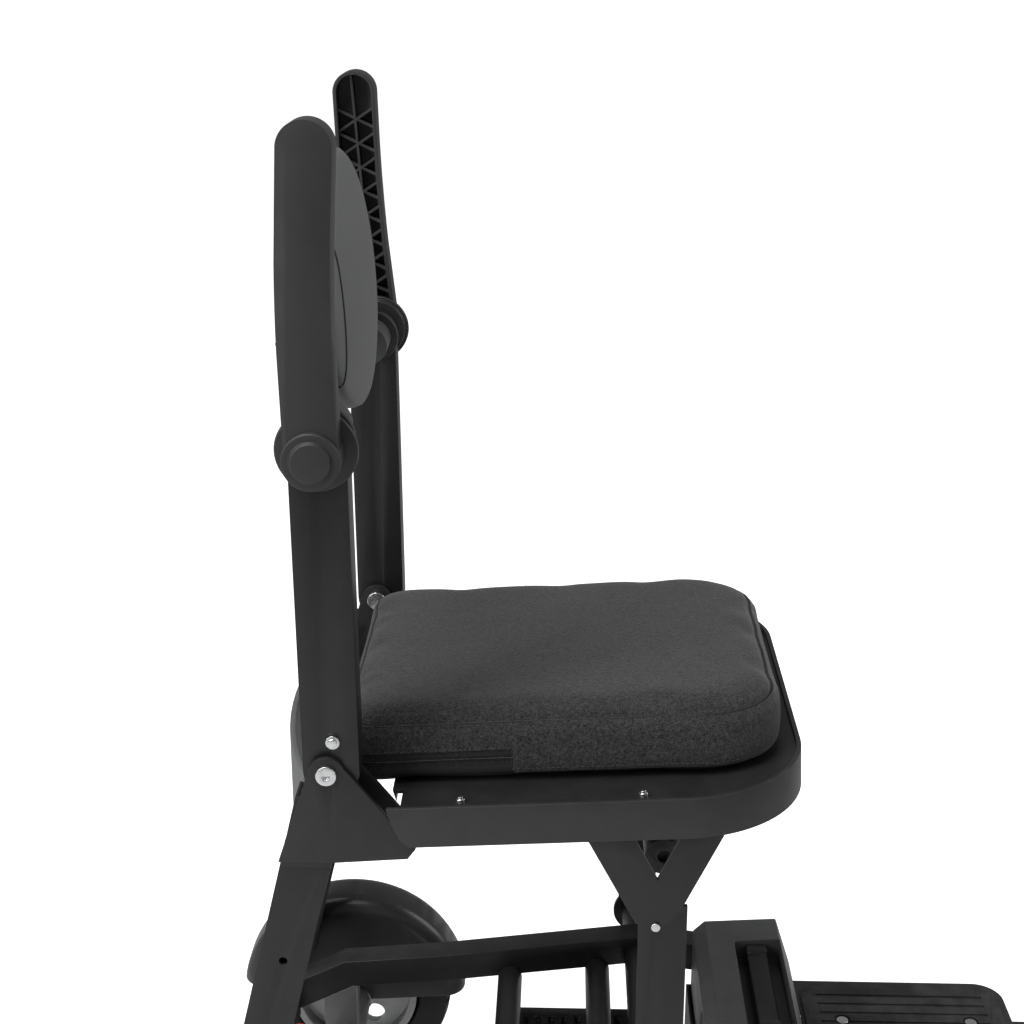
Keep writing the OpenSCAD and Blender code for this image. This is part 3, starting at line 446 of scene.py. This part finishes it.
# ---- modelling helpers ----
def activate(piece):
    bpy.ops.object.select_all(action="DESELECT")
    piece.select_set(True)
    bpy.context.view_layer.objects.active = piece


def edit(piece):
    activate(piece)
    bpy.ops.object.mode_set(mode="EDIT")
    bpy.ops.mesh.select_mode(type="FACE")
    return bmesh.from_edit_mesh(piece.data)


def stop_edit():
    bpy.ops.object.mode_set(mode="OBJECT")


def pick_faces(piece, test):
    mesh = bmesh.from_edit_mesh(piece.data)
    bpy.ops.mesh.select_mode(type="FACE")
    bpy.ops.mesh.select_all(action="DESELECT")
    for face in mesh.faces:
        face.select_set(bool(test(face)))
    bmesh.update_edit_mesh(piece.data)


def pick_edges(piece, test):
    mesh = bmesh.from_edit_mesh(piece.data)
    bpy.ops.mesh.select_mode(type="EDGE")
    bpy.ops.mesh.select_all(action="DESELECT")
    for edge in mesh.edges:
        edge.select_set(bool(test(edge)))
    bmesh.update_edit_mesh(piece.data)


def sharp(edge, angle=30):
    return edge.is_manifold and edge.calc_face_angle(0) > radians(angle)


def midpoint(edge):
    return (edge.verts[0].co + edge.verts[1].co) / 2


def apply_modifier(piece, kind, **settings):
    activate(piece)
    modifier = piece.modifiers.new(kind.lower(), kind)
    for label, value in settings.items():
        setattr(modifier, label, value)
    bpy.ops.object.modifier_apply(modifier=modifier.name)


def smooth(piece, angle=40):
    activate(piece)
    bpy.ops.object.shade_smooth_by_angle(angle=radians(angle))


def settle(piece, place):
    """Moves the mesh itself, so the object stays at the origin"""
    piece.data.transform(place)
    piece.data.update()


def fix_normals(piece):
    edit(piece)
    bpy.ops.mesh.select_all(action="SELECT")
    bpy.ops.mesh.remove_doubles(threshold=0.00001)
    bpy.ops.mesh.normals_make_consistent(inside=False)
    stop_edit()


def join(pieces, name):
    bpy.ops.object.select_all(action="DESELECT")
    for piece in pieces:
        piece.select_set(True)
    bpy.context.view_layer.objects.active = pieces[0]
    if len(pieces) > 1:
        bpy.ops.object.join()
    whole = bpy.context.object
    whole.name = name
    return whole


def copy_of(source, name):
    piece = source.copy()
    piece.data = source.data.copy()
    piece.parent = None
    piece.name = name
    for key in list(piece.keys()):
        del piece[key]
    bpy.context.scene.collection.objects.link(piece)
    return piece


def primitive(name, add, location=(0, 0, 0), rotation=(0, 0, 0), scale=(1, 1, 1), **settings):
    """A primitive at its size and place, with its place put into its mesh"""
    bpy.ops.object.select_all(action="DESELECT")
    add(location=location, rotation=rotation, **settings)
    piece = bpy.context.object
    piece.name = name
    piece.scale = scale
    bpy.ops.object.transform_apply(location=True, rotation=True, scale=True)
    return piece


def softened(node, width, name=None, segments=3, coarse=None):
    """The node's own shape with its edges rounded over. coarse=(test, width) rounds picked edges more"""
    piece = copy_of(nodes[node], name or node + "_finished")
    edit(piece)
    bpy.ops.mesh.select_all(action="SELECT")
    bpy.ops.mesh.remove_doubles(threshold=0.00001)
    bpy.ops.mesh.dissolve_limited(angle_limit=radians(1.5))
    if coarse:
        test, big = coarse
        pick_edges(piece, lambda edge: sharp(edge) and test(midpoint(edge)))
        bpy.ops.mesh.bevel(offset=big * mm, segments=4, affect="EDGES", clamp_overlap=True)
    stop_edit()
    apply_modifier(piece, "BEVEL", width=width * mm, segments=segments, limit_method="ANGLE",
                   angle_limit=radians(32), use_clamp_overlap=True, harden_normals=False)
    smooth(piece, 42)
    ready(piece, nodes[node]["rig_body"], slot_of[node], node)
    return piece


def ready(piece, body, slot, *replaced, material=None):
    """Gives a finished piece its body, finish and the nodes it stands for"""
    finish_with(piece, material or finishes[slot])
    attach(piece, body)
    if replaced:
        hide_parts(*replaced)


# ---- frame, seat structure and covers: the machined and moulded shapes, rounded over ----
rounding = {
    "chassis_rails": 3.0, "chassis_cross_tubes": 0.8, "floor_pan": 1.2, "transaxle_case": 2.5,
    "drive_motor": 2.0, "battery_cradle": 1.0, "controller_box": 3.0, "charge_port": 0.8,
    "rear_legs": 2.5, "gusset_plates": 0.8, "rear_cross_panel": 1.5, "y_side_plates": 0.9,
    "front_seat_tube": 0.6, "seat_lug": 1.2, "head_tube": 1.2, "anti_tip_arms": 0.8,
    "rear_reflectors": 0.8, "pivot_bolts": 0.5, "steering_fork": 1.2, "front_fender": 1.0,
    "tiller_yoke": 1.0, "tiller_tube_lower": 1.0, "tiller_tube_upper": 0.6, "control_housing": 3.0,
    "control_cover": 2.0, "handlebar": 0.5, "headlight": 0.6, "wigwag_lever": 1.2, "speed_dial": 0.8,
    "ignition_key": 0.6, "horn_button": 1.0, "height_clamp_lever": 1.2, "tilt_release_lever": 1.2,
    "backrest_posts": 2.2, "backrest_shell": 1.0, "battery_case": 4.0, "battery_handle": 1.5,
    "freewheel_lever": 1.0, "rear_rim_right": 0.8, "rear_rim_left": 0.8, "front_rim": 0.8,
    "anti_tip_wheel_right": 1.5, "anti_tip_wheel_left": 1.5, "seat_tray": 1.2, "rear_fenders": 1.0,
    "frame_fasteners": 0.4, "head_bearings": 0.6, "stop_studs": 0.4, "fork_axle": 0.5,
    "hinge_flanges": 1.2,
}
finished = {node: softened(node, width) for node, width in rounding.items()}


# ---- seat cushion ----
def local_box(node, place):
    """Lowest and highest corners of a node in a turned frame"""
    inverse = place.inverted()
    points = [inverse @ vertex.co for vertex in nodes[node].data.vertices]
    return (Vector([min(p[k] for p in points) for k in range(3)]),
            Vector([max(p[k] for p in points) for k in range(3)]))


cushion_low, cushion_high = local_box("seat_cushion", seat_frame)
cushion_mid = (cushion_low + cushion_high) / 2
zip_front = 0.131
plate_end = 0.064
top_seam = cushion_high.z - 9 * mm
zip_top = cushion_high.z - 26 * mm
zip_line = cushion_high.z - 31.5 * mm
zip_foot = cushion_high.z - 37 * mm
flap_foot = cushion_high.z - 42 * mm


def cushion_block():
    """A foam block with round corners, a little smaller than the cushion will be"""
    size = cushion_high - cushion_low - Vector((7, 7, 7)) * mm
    block = primitive("seat_cushion_cover", bpy.ops.mesh.primitive_cube_add, location=cushion_mid,
                      scale=size / 2)
    edit(block)

    def upright(edge, front):
        way = edge.verts[0].co - edge.verts[1].co
        return abs(way.z) > 0.02 and (midpoint(edge).x > cushion_mid.x) == front
    pick_edges(block, lambda edge: upright(edge, True))
    bpy.ops.mesh.bevel(offset=58 * mm, segments=12, affect="EDGES")
    pick_edges(block, lambda edge: upright(edge, False))
    bpy.ops.mesh.bevel(offset=26 * mm, segments=8, affect="EDGES")
    pick_edges(block, lambda edge: sharp(edge, 60) and midpoint(edge).z > cushion_mid.z)
    bpy.ops.mesh.bevel(offset=11 * mm, segments=4, affect="EDGES")
    pick_edges(block, lambda edge: sharp(edge, 60) and midpoint(edge).z < cushion_mid.z)
    bpy.ops.mesh.bevel(offset=7 * mm, segments=3, affect="EDGES")
    stop_edit()
    return block


def fill_out(piece, cap, inside, voxel=0.0048, pressure=4.0):
    """Puffs a pad up by cloth simulation. cap limits a point's move; inside(point) keeps it in its space"""
    apply_modifier(piece, "REMESH", mode="VOXEL", voxel_size=voxel)
    start = [vertex.co.copy() for vertex in piece.data.vertices]
    cloth_modifier = piece.modifiers.new("cloth", "CLOTH")
    cloth_modifier.settings.use_pressure = True
    cloth_modifier.settings.uniform_pressure_force = pressure
    cloth_modifier.settings.effector_weights.gravity = 0
    cloth_modifier.settings.tension_stiffness = 25
    cloth_modifier.point_cache.frame_end = 20
    for number in range(1, 21):
        bpy.context.scene.frame_set(number)
    activate(piece)
    bpy.ops.object.modifier_apply(modifier="cloth")
    bpy.context.scene.frame_set(1)
    for vertex, first in zip(piece.data.vertices, start):
        move = vertex.co - first
        if move.length > cap:
            vertex.co = first + move * (cap / move.length)
    for vertex in piece.data.vertices:
        vertex.co = inside(vertex.co)
    apply_modifier(piece, "SMOOTH", factor=0.5, iterations=9)
    apply_modifier(piece, "SUBSURF", levels=1, render_levels=1)
    activate(piece)
    bpy.ops.object.shade_smooth()


def in_cushion_space(point):
    """Keeps a point of the cushion clear of the tray and the side plates, and slopes its sides"""
    height = (point.z - cushion_low.z) / (cushion_high.z - cushion_low.z)
    past_plates = max(0.0, min(1.0, (point.x - plate_end) / (24 * mm)))
    half = cushion_high.y + (0.5 + 5.2 * past_plates) * mm
    return Vector((max(cushion_low.x, min(cushion_high.x + 2 * mm, point.x)),
                   max(-half, min(half, point.y * (1.05 - 0.1 * height))),
                   max(cushion_low.z + 0.6 * mm, point.z)))


def sheet_from(source, name, cuts, lift, thickness):
    """A panel of cloth: the part of the cushion's surface behind each cutting plane, lifted and thickened"""
    panel = copy_of(source, name)
    edit(panel)
    for place, way in cuts:
        bpy.ops.mesh.select_all(action="SELECT")
        bpy.ops.mesh.bisect(plane_co=place, plane_no=way, clear_outer=True)
    stop_edit()
    apply_modifier(panel, "DISPLACE", strength=lift, mid_level=0.0)
    apply_modifier(panel, "SOLIDIFY", thickness=thickness, offset=1.0)
    smooth(panel, 50)
    return panel


def cut_line(source, place, way, trims=()):
    """Points along the line where a plane cuts a piece, in order"""
    line = copy_of(source, "line")
    edit(line)
    bpy.ops.mesh.select_all(action="SELECT")
    bpy.ops.mesh.bisect(plane_co=place, plane_no=way, clear_inner=True, clear_outer=True)
    for spot, side in trims:
        bpy.ops.mesh.select_all(action="SELECT")
        bpy.ops.mesh.bisect(plane_co=spot, plane_no=side, clear_outer=True)
    stop_edit()
    ends = {}
    for edge in line.data.edges:
        a, b = edge.vertices
        ends.setdefault(a, []).append(b)
        ends.setdefault(b, []).append(a)
    first = min(ends, key=lambda v: (len(ends[v]), v))
    order, seen = [first], {first}
    while True:
        following = [v for v in ends[order[-1]] if v not in seen]
        if not following:
            break
        order.append(following[0])
        seen.add(following[0])
    points = [line.data.vertices[v].co.copy() for v in order]
    bpy.data.objects.remove(line)
    return points


def cord_along(points, name, radius, closed=False):
    """A thin cord or piping along points"""
    curve = bpy.data.curves.new(name, "CURVE")
    curve.dimensions = "3D"
    curve.bevel_depth = radius
    curve.bevel_resolution = 2
    curve.use_fill_caps = True
    spline = curve.splines.new("POLY")
    spline.points.add(len(points) - 1)
    for spot, point in zip(spline.points, points):
        spot.co = (*point, 1)
    spline.use_cyclic_u = closed
    piece = bpy.data.objects.new(name, curve)
    bpy.context.scene.collection.objects.link(piece)
    activate(piece)
    bpy.ops.object.convert(target="MESH")
    bpy.ops.object.shade_smooth()
    return bpy.context.object


def spaced(points, pitch):
    """Places and directions at even steps along a line of points"""
    result, left = [], 0.0
    for a, b in zip(points, points[1:]):
        way = b - a
        length = way.length
        while left < length and length > 0:
            result.append((a + way * (left / length), way.normalized()))
            left += pitch
        left -= length
    return result


def row_of(bead, places, name, lift=0.0, across=0.0, centre=cushion_mid):
    """Copies of one small piece, each turned along its line and set on the surface"""
    beads = []
    for place, way in places:
        outward = place - centre
        outward.z = 0
        outward = (outward - outward.project(way)).normalized()
        side = way.cross(outward)
        turn = Matrix((way, side, outward)).transposed().to_4x4()
        piece = copy_of(bead, name)
        settle(piece, Matrix.Translation(place + outward * lift + side * across) @ turn)
        beads.append(piece)
    bpy.data.objects.remove(bead)
    return join(beads, name)


def small_bead(length, width, height, segments=6, rings=4):
    return primitive("bead", bpy.ops.mesh.primitive_uv_sphere_add, segments=segments, ring_count=rings,
                     radius=0.5, scale=(length, width, height))


def seat_piece(piece, material=None):
    settle(piece, seat_frame)
    ready(piece, "chassis", "cushion_fabric", material=material)
    return piece


def pinch_seam(piece, height, reach, depth):
    """Draws the side wall in along a level seam"""
    for vertex in piece.data.vertices:
        off = (vertex.co.z - height) / reach
        if abs(off) < 1:
            inward = cushion_mid - vertex.co
            inward.z = 0
            inward.x *= 1.1
            vertex.co += inward.normalized() * depth * (1 - off * off)


def make_cushion():
    cover = cushion_block()
    fill_out(cover, 6 * mm, in_cushion_space)
    pinch_seam(cover, top_seam, 4.5 * mm, 1.6 * mm)
    up, front = Vector((0, 0, 1)), Vector((1, 0, 0))

    def at(height):
        return Vector((0, 0, height))
    zip_end, flap_end = Vector((zip_front, 0, 0)), Vector((zip_front - 1.5 * mm, 0, 0))
    panels = [
        ("seat_front_band", [(at(top_seam), up), (at(flap_foot), -up), (flap_end, -front)], 0.9, 1.1, None),
        ("seat_zip_guard", [(at(top_seam), up), (at(zip_top), -up), (zip_end, front)], 0.3, 1.0, None),
        ("seat_zip_tape", [(at(zip_top + 2 * mm), up), (at(zip_foot - 1 * mm), -up), (zip_end, front)],
         0.1, 0.35, zip_tape),
        ("seat_base_cloth", [(at(flap_foot + 1 * mm), up)], 0.05, 0.4, under_cloth),
        ("seat_zip_under_band", [(at(zip_foot), up), (at(flap_foot), -up), (zip_end, front)], 0.15, 0.7,
         under_cloth),
    ]
    for name, cuts, lift, thickness, material in panels:
        seat_piece(sheet_from(cover, name, cuts, lift * mm, thickness * mm), material)
    # The near-black cords along the top seam, the band's foot and the band's ends are painted shade in the
    # seam crevices.
    seam = cut_line(cover, at(top_seam + 0.6 * mm), up)
    seat_piece(cord_along(seam, "seat_top_seam_painted_shade", 0.7 * mm, closed=True), painted_crevice_shade)
    band_foot = cut_line(cover, at(flap_foot - 0.6 * mm), up, [(flap_end, -front)])
    seat_piece(cord_along(band_foot, "seat_band_foot_painted_shade", 0.8 * mm), painted_crevice_shade)
    for side, label in ((-1, "near"), (1, "far")):
        band_end = cut_line(cover, Vector((zip_front - 2.3 * mm, 0, 0)), front,
                            [(at(top_seam), up), (at(flap_foot), -up), (Vector(), Vector((0, -side, 0)))])
        seat_piece(cord_along(band_end, "seat_band_end_painted_shade_" + label, 0.7 * mm), painted_crevice_shade)
    trims = [(zip_end, front)]
    coil = cut_line(cover, at(zip_line), up, trims)
    for label, lift_side in (("upper", 1.0), ("lower", -1.0)):
        teeth = row_of(small_bead(1.0 * mm, 2.2 * mm, 1.5 * mm), spaced(coil, 1.7 * mm),
                       "seat_zip_coil_" + label, lift=0.7 * mm, across=lift_side * 1.1 * mm)
        seat_piece(teeth, zip_nylon)
    seat_piece(cord_along([p + (p - cushion_mid).normalized() * 0.5 * mm for p in coil],
                          "seat_zip_stringer", 0.45 * mm), thread_grey)
    rows = [("seat_stitch_guard", top_seam - 3 * mm, trims, 1.4),
            ("seat_stitch_zip_top", zip_top + 1.6 * mm, trims, 1.4),
            ("seat_stitch_band_foot", flap_foot + 2.2 * mm, [(flap_end, -front)], 2.1),
            ("seat_stitch_band_top", top_seam - 3 * mm, [(flap_end, -front)], 2.1)]
    for name, height, row_trims, lift in rows:
        line = cut_line(cover, at(height), up, row_trims)
        stitch = small_bead(2.6 * mm, 0.5 * mm, 0.4 * mm)
        seat_piece(row_of(stitch, spaced(line, 3.6 * mm), name, lift=lift * mm), thread_grey)
    for side in (-1, 1):
        end = [Vector((zip_front + 1.6 * mm, side * (cushion_high.y + 1.9 * mm),
                       top_seam - 3 * mm - k * 3.3 * mm)) for k in range(10)]
        seat_piece(row_of(small_bead(2.4 * mm, 0.5 * mm, 0.4 * mm), spaced(end, 3.3 * mm),
                          "seat_stitch_band_end_" + ("near" if side < 0 else "far")), thread_grey)
    slider = primitive("seat_zip_slider", bpy.ops.mesh.primitive_cube_add,
                       location=(cushion_low.x - 1.6 * mm, 0, zip_line), scale=(1.5 * mm, 5 * mm, 3.6 * mm))
    edit(slider)
    pick_faces(slider, lambda face: face.normal.y > 0.9)
    bpy.ops.mesh.inset(thickness=1.2 * mm)
    bpy.ops.mesh.extrude_region_move(TRANSFORM_OT_translate={"value": (0, 16 * mm, 0)})
    stop_edit()
    apply_modifier(slider, "BEVEL", width=0.5 * mm, segments=2, limit_method="ANGLE")
    smooth(slider)
    seat_piece(slider, zip_nylon)
    settle(cover, seat_frame)
    ready(cover, "chassis", "cushion_fabric", "seat_cushion")


make_cushion()


# ---- back pad ----
pad_side_sag = 13 * mm


def make_back_pad():
    low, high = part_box("backrest_pad")
    pad = copy_of(nodes["backrest_pad"], "back_pad")
    edit(pad)
    bpy.ops.mesh.select_all(action="SELECT")
    bpy.ops.mesh.remove_doubles(threshold=0.00001)
    stop_edit()
    apply_modifier(pad, "REMESH", mode="VOXEL", voxel_size=0.0035)
    depth = high.x - low.x
    for vertex in pad.data.vertices:
        forward = max(0.0, min(1.0, (vertex.co.x - low.x) / depth))
        vertex.co.x -= pad_side_sag * forward * (vertex.co.y / high.y) ** 2
    apply_modifier(pad, "SMOOTH", factor=0.5, iterations=26)
    apply_modifier(pad, "SUBSURF", levels=1, render_levels=1)
    activate(pad)
    bpy.ops.object.shade_smooth()
    # A near-black cord in each side groove of the pad is painted shade in the groove.
    for side, label in ((-1, "right"), (1, "left")):
        place = Vector((0, side * (high.y - 6.5 * mm), 0))
        way = Vector((-0.05, side * 1.0, 0))
        line = cut_line(pad, place, way, [(low + Vector((11, 0, 0)) * mm, Vector((-1, 0, 0)))])
        groove_shade_cord = cord_along(line, "back_pad_groove_painted_shade_" + label, 0.9 * mm)
        ready(groove_shade_cord, "backrest", "pad_skin", material=painted_crevice_shade)
    ready(pad, "backrest", "pad_skin", "backrest_pad")


make_back_pad()


# ---- tyres ----
def make_tyre(node, turn, rubber, tread_rows=56):
    """A solid tyre: a rounded section spun round its axle, with tread slots pressed into it"""
    low, high = local_box(node, turn)
    outer = (high.x - low.x) / 2
    width = (high.y - low.y) / 2
    bore = outer - rubber
    middle = (low + high) / 2
    depth = (outer - bore) / 2
    tyre = primitive(node + "_rubber", bpy.ops.mesh.primitive_circle_add, vertices=32, radius=1.0,
                     rotation=(pi / 2, 0, 0), fill_type="NOTHING")
    for vertex in tyre.data.vertices:
        across, out = vertex.co.x, vertex.co.z
        squared = max(abs(across), abs(out)) ** 0.35
        vertex.co = Vector((bore + depth + out / squared * depth, across / squared * width, 0))
    edit(tyre)
    bpy.ops.mesh.select_mode(type="EDGE")
    bpy.ops.mesh.select_all(action="SELECT")
    bpy.ops.mesh.spin(steps=tread_rows * 2, angle=tau, center=(0, 0, 0), axis=(0, 1, 0))
    stop_edit()
    fix_normals(tyre)
    edit(tyre)

    def in_slot(face):
        middle_point = face.calc_center_median()
        reach = Vector((middle_point.x, middle_point.z)).length
        row = int(round((atan2(middle_point.z, middle_point.x) % tau) / tau * tread_rows * 2 - 0.5))
        shoulder = abs(middle_point.y) > width * 0.42
        return reach > outer - 4.5 * mm and shoulder and row % 4 == (0 if middle_point.y > 0 else 2)
    pick_faces(tyre, in_slot)
    bpy.ops.mesh.extrude_region_shrink_fatten(TRANSFORM_OT_shrink_fatten={"value": -2.2 * mm})
    pick_faces(tyre, lambda face: Vector((face.calc_center_median().x, face.calc_center_median().z)).length
               > outer - 3 * mm and abs(face.calc_center_median().y) < width * 0.09)
    bpy.ops.mesh.extrude_region_shrink_fatten(TRANSFORM_OT_shrink_fatten={"value": -2.0 * mm})
    stop_edit()
    smooth(tyre, 35)
    settle(tyre, turn @ Matrix.Translation(middle))
    ready(tyre, nodes[node]["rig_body"], "tyre_rubber", node)


for side in ("right", "left"):
    axle = Matrix.Translation(Vector(joints["rear_wheel_" + side + "_spin"]["pos_m"]))
    make_tyre("rear_tyre_" + side, axle, 33 * mm)
make_tyre("front_tyre", steer_frame, 31 * mm)


# ---- grips, deck mat and cable ----
grip_length = 116 * mm
ring_pitch = 2.9 * mm


def make_grips():
    low, high = local_box("hand_grips", steer_frame)
    middle = (low + high) / 2
    radius = (high.x - low.x) / 2
    for side, label in ((-1, "right"), (1, "left")):
        grip = primitive("grip_" + label, bpy.ops.mesh.primitive_cylinder_add, vertices=48,
                         radius=radius - 1.2 * mm, depth=grip_length, rotation=(pi / 2, 0, 0),
                         location=(middle.x, side * (high.y - grip_length / 2), middle.z))
        edit(grip)
        for step in range(1, 39):
            bpy.ops.mesh.select_all(action="SELECT")
            bpy.ops.mesh.bisect(plane_co=(0, side * (high.y - grip_length + step * ring_pitch), 0),
                                plane_no=(0, 1, 0))
        edge_y = high.y - grip_length

        def ribbed(face):
            along = abs(face.calc_center_median().y) - edge_y
            return abs(face.normal.y) < 0.5 and (int(along / ring_pitch) % 2 == 0 or along < 6 * mm)
        pick_faces(grip, ribbed)
        bpy.ops.mesh.extrude_region_shrink_fatten(TRANSFORM_OT_shrink_fatten={"value": 1.1 * mm})
        stop_edit()
        apply_modifier(grip, "BEVEL", width=0.35 * mm, segments=2, limit_method="ANGLE",
                       angle_limit=radians(40))
        smooth(grip, 35)
        settle(grip, steer_frame)
        ready(grip, "tiller_upper", "grip_rubber", *(["hand_grips"] if side < 0 else []))


make_grips()
softened("floor_mat", 0.5)
softened("armrest_right", 0.5, coarse=(lambda spot: spot.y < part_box("armrest_right")[0].y + 3.7 * mm, 2.0))
softened("armrest_left", 0.5, coarse=(lambda spot: spot.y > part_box("armrest_left")[1].y - 3.7 * mm, 2.0))


# The cable's route from the controller along the frame and up to the head tube, in millimetres from the pivot
cable_radius = 3.5 * mm
cable_route = [(224, 60, 128), (242, 60, 127), (256, 60, 116), (275, 58, 105), (300, 57, 99), (380, 55, 97),
               (460, 50, 97), (530, 44, 97), (589, 37, 95), (605, 31, 96), (614, 28, 106),
               (614, 25, 140), (622, 25, 190), (642, 25, 217), (662, 14, 234)]


def make_cable():
    points = [Vector(((x * mm + pivot.x), y * mm, z * mm)) for x, y, z in cable_route]
    fine = []
    for i in range(len(points) - 1):
        a, b = points[max(i - 1, 0)], points[i]
        c, d = points[i + 1], points[min(i + 2, len(points) - 1)]
        for k in range(6):
            u = k / 6
            fine.append(0.5 * (2 * b + (c - a) * u + (2 * a - 5 * b + 4 * c - d) * u * u
                               + (3 * b - a - 3 * c + d) * u ** 3))
    fine.append(points[-1])
    cable = cord_along(fine, "power_cable_sheath", cable_radius)
    ready(cable, "chassis", "cable_rubber", "power_cable")


make_cable()
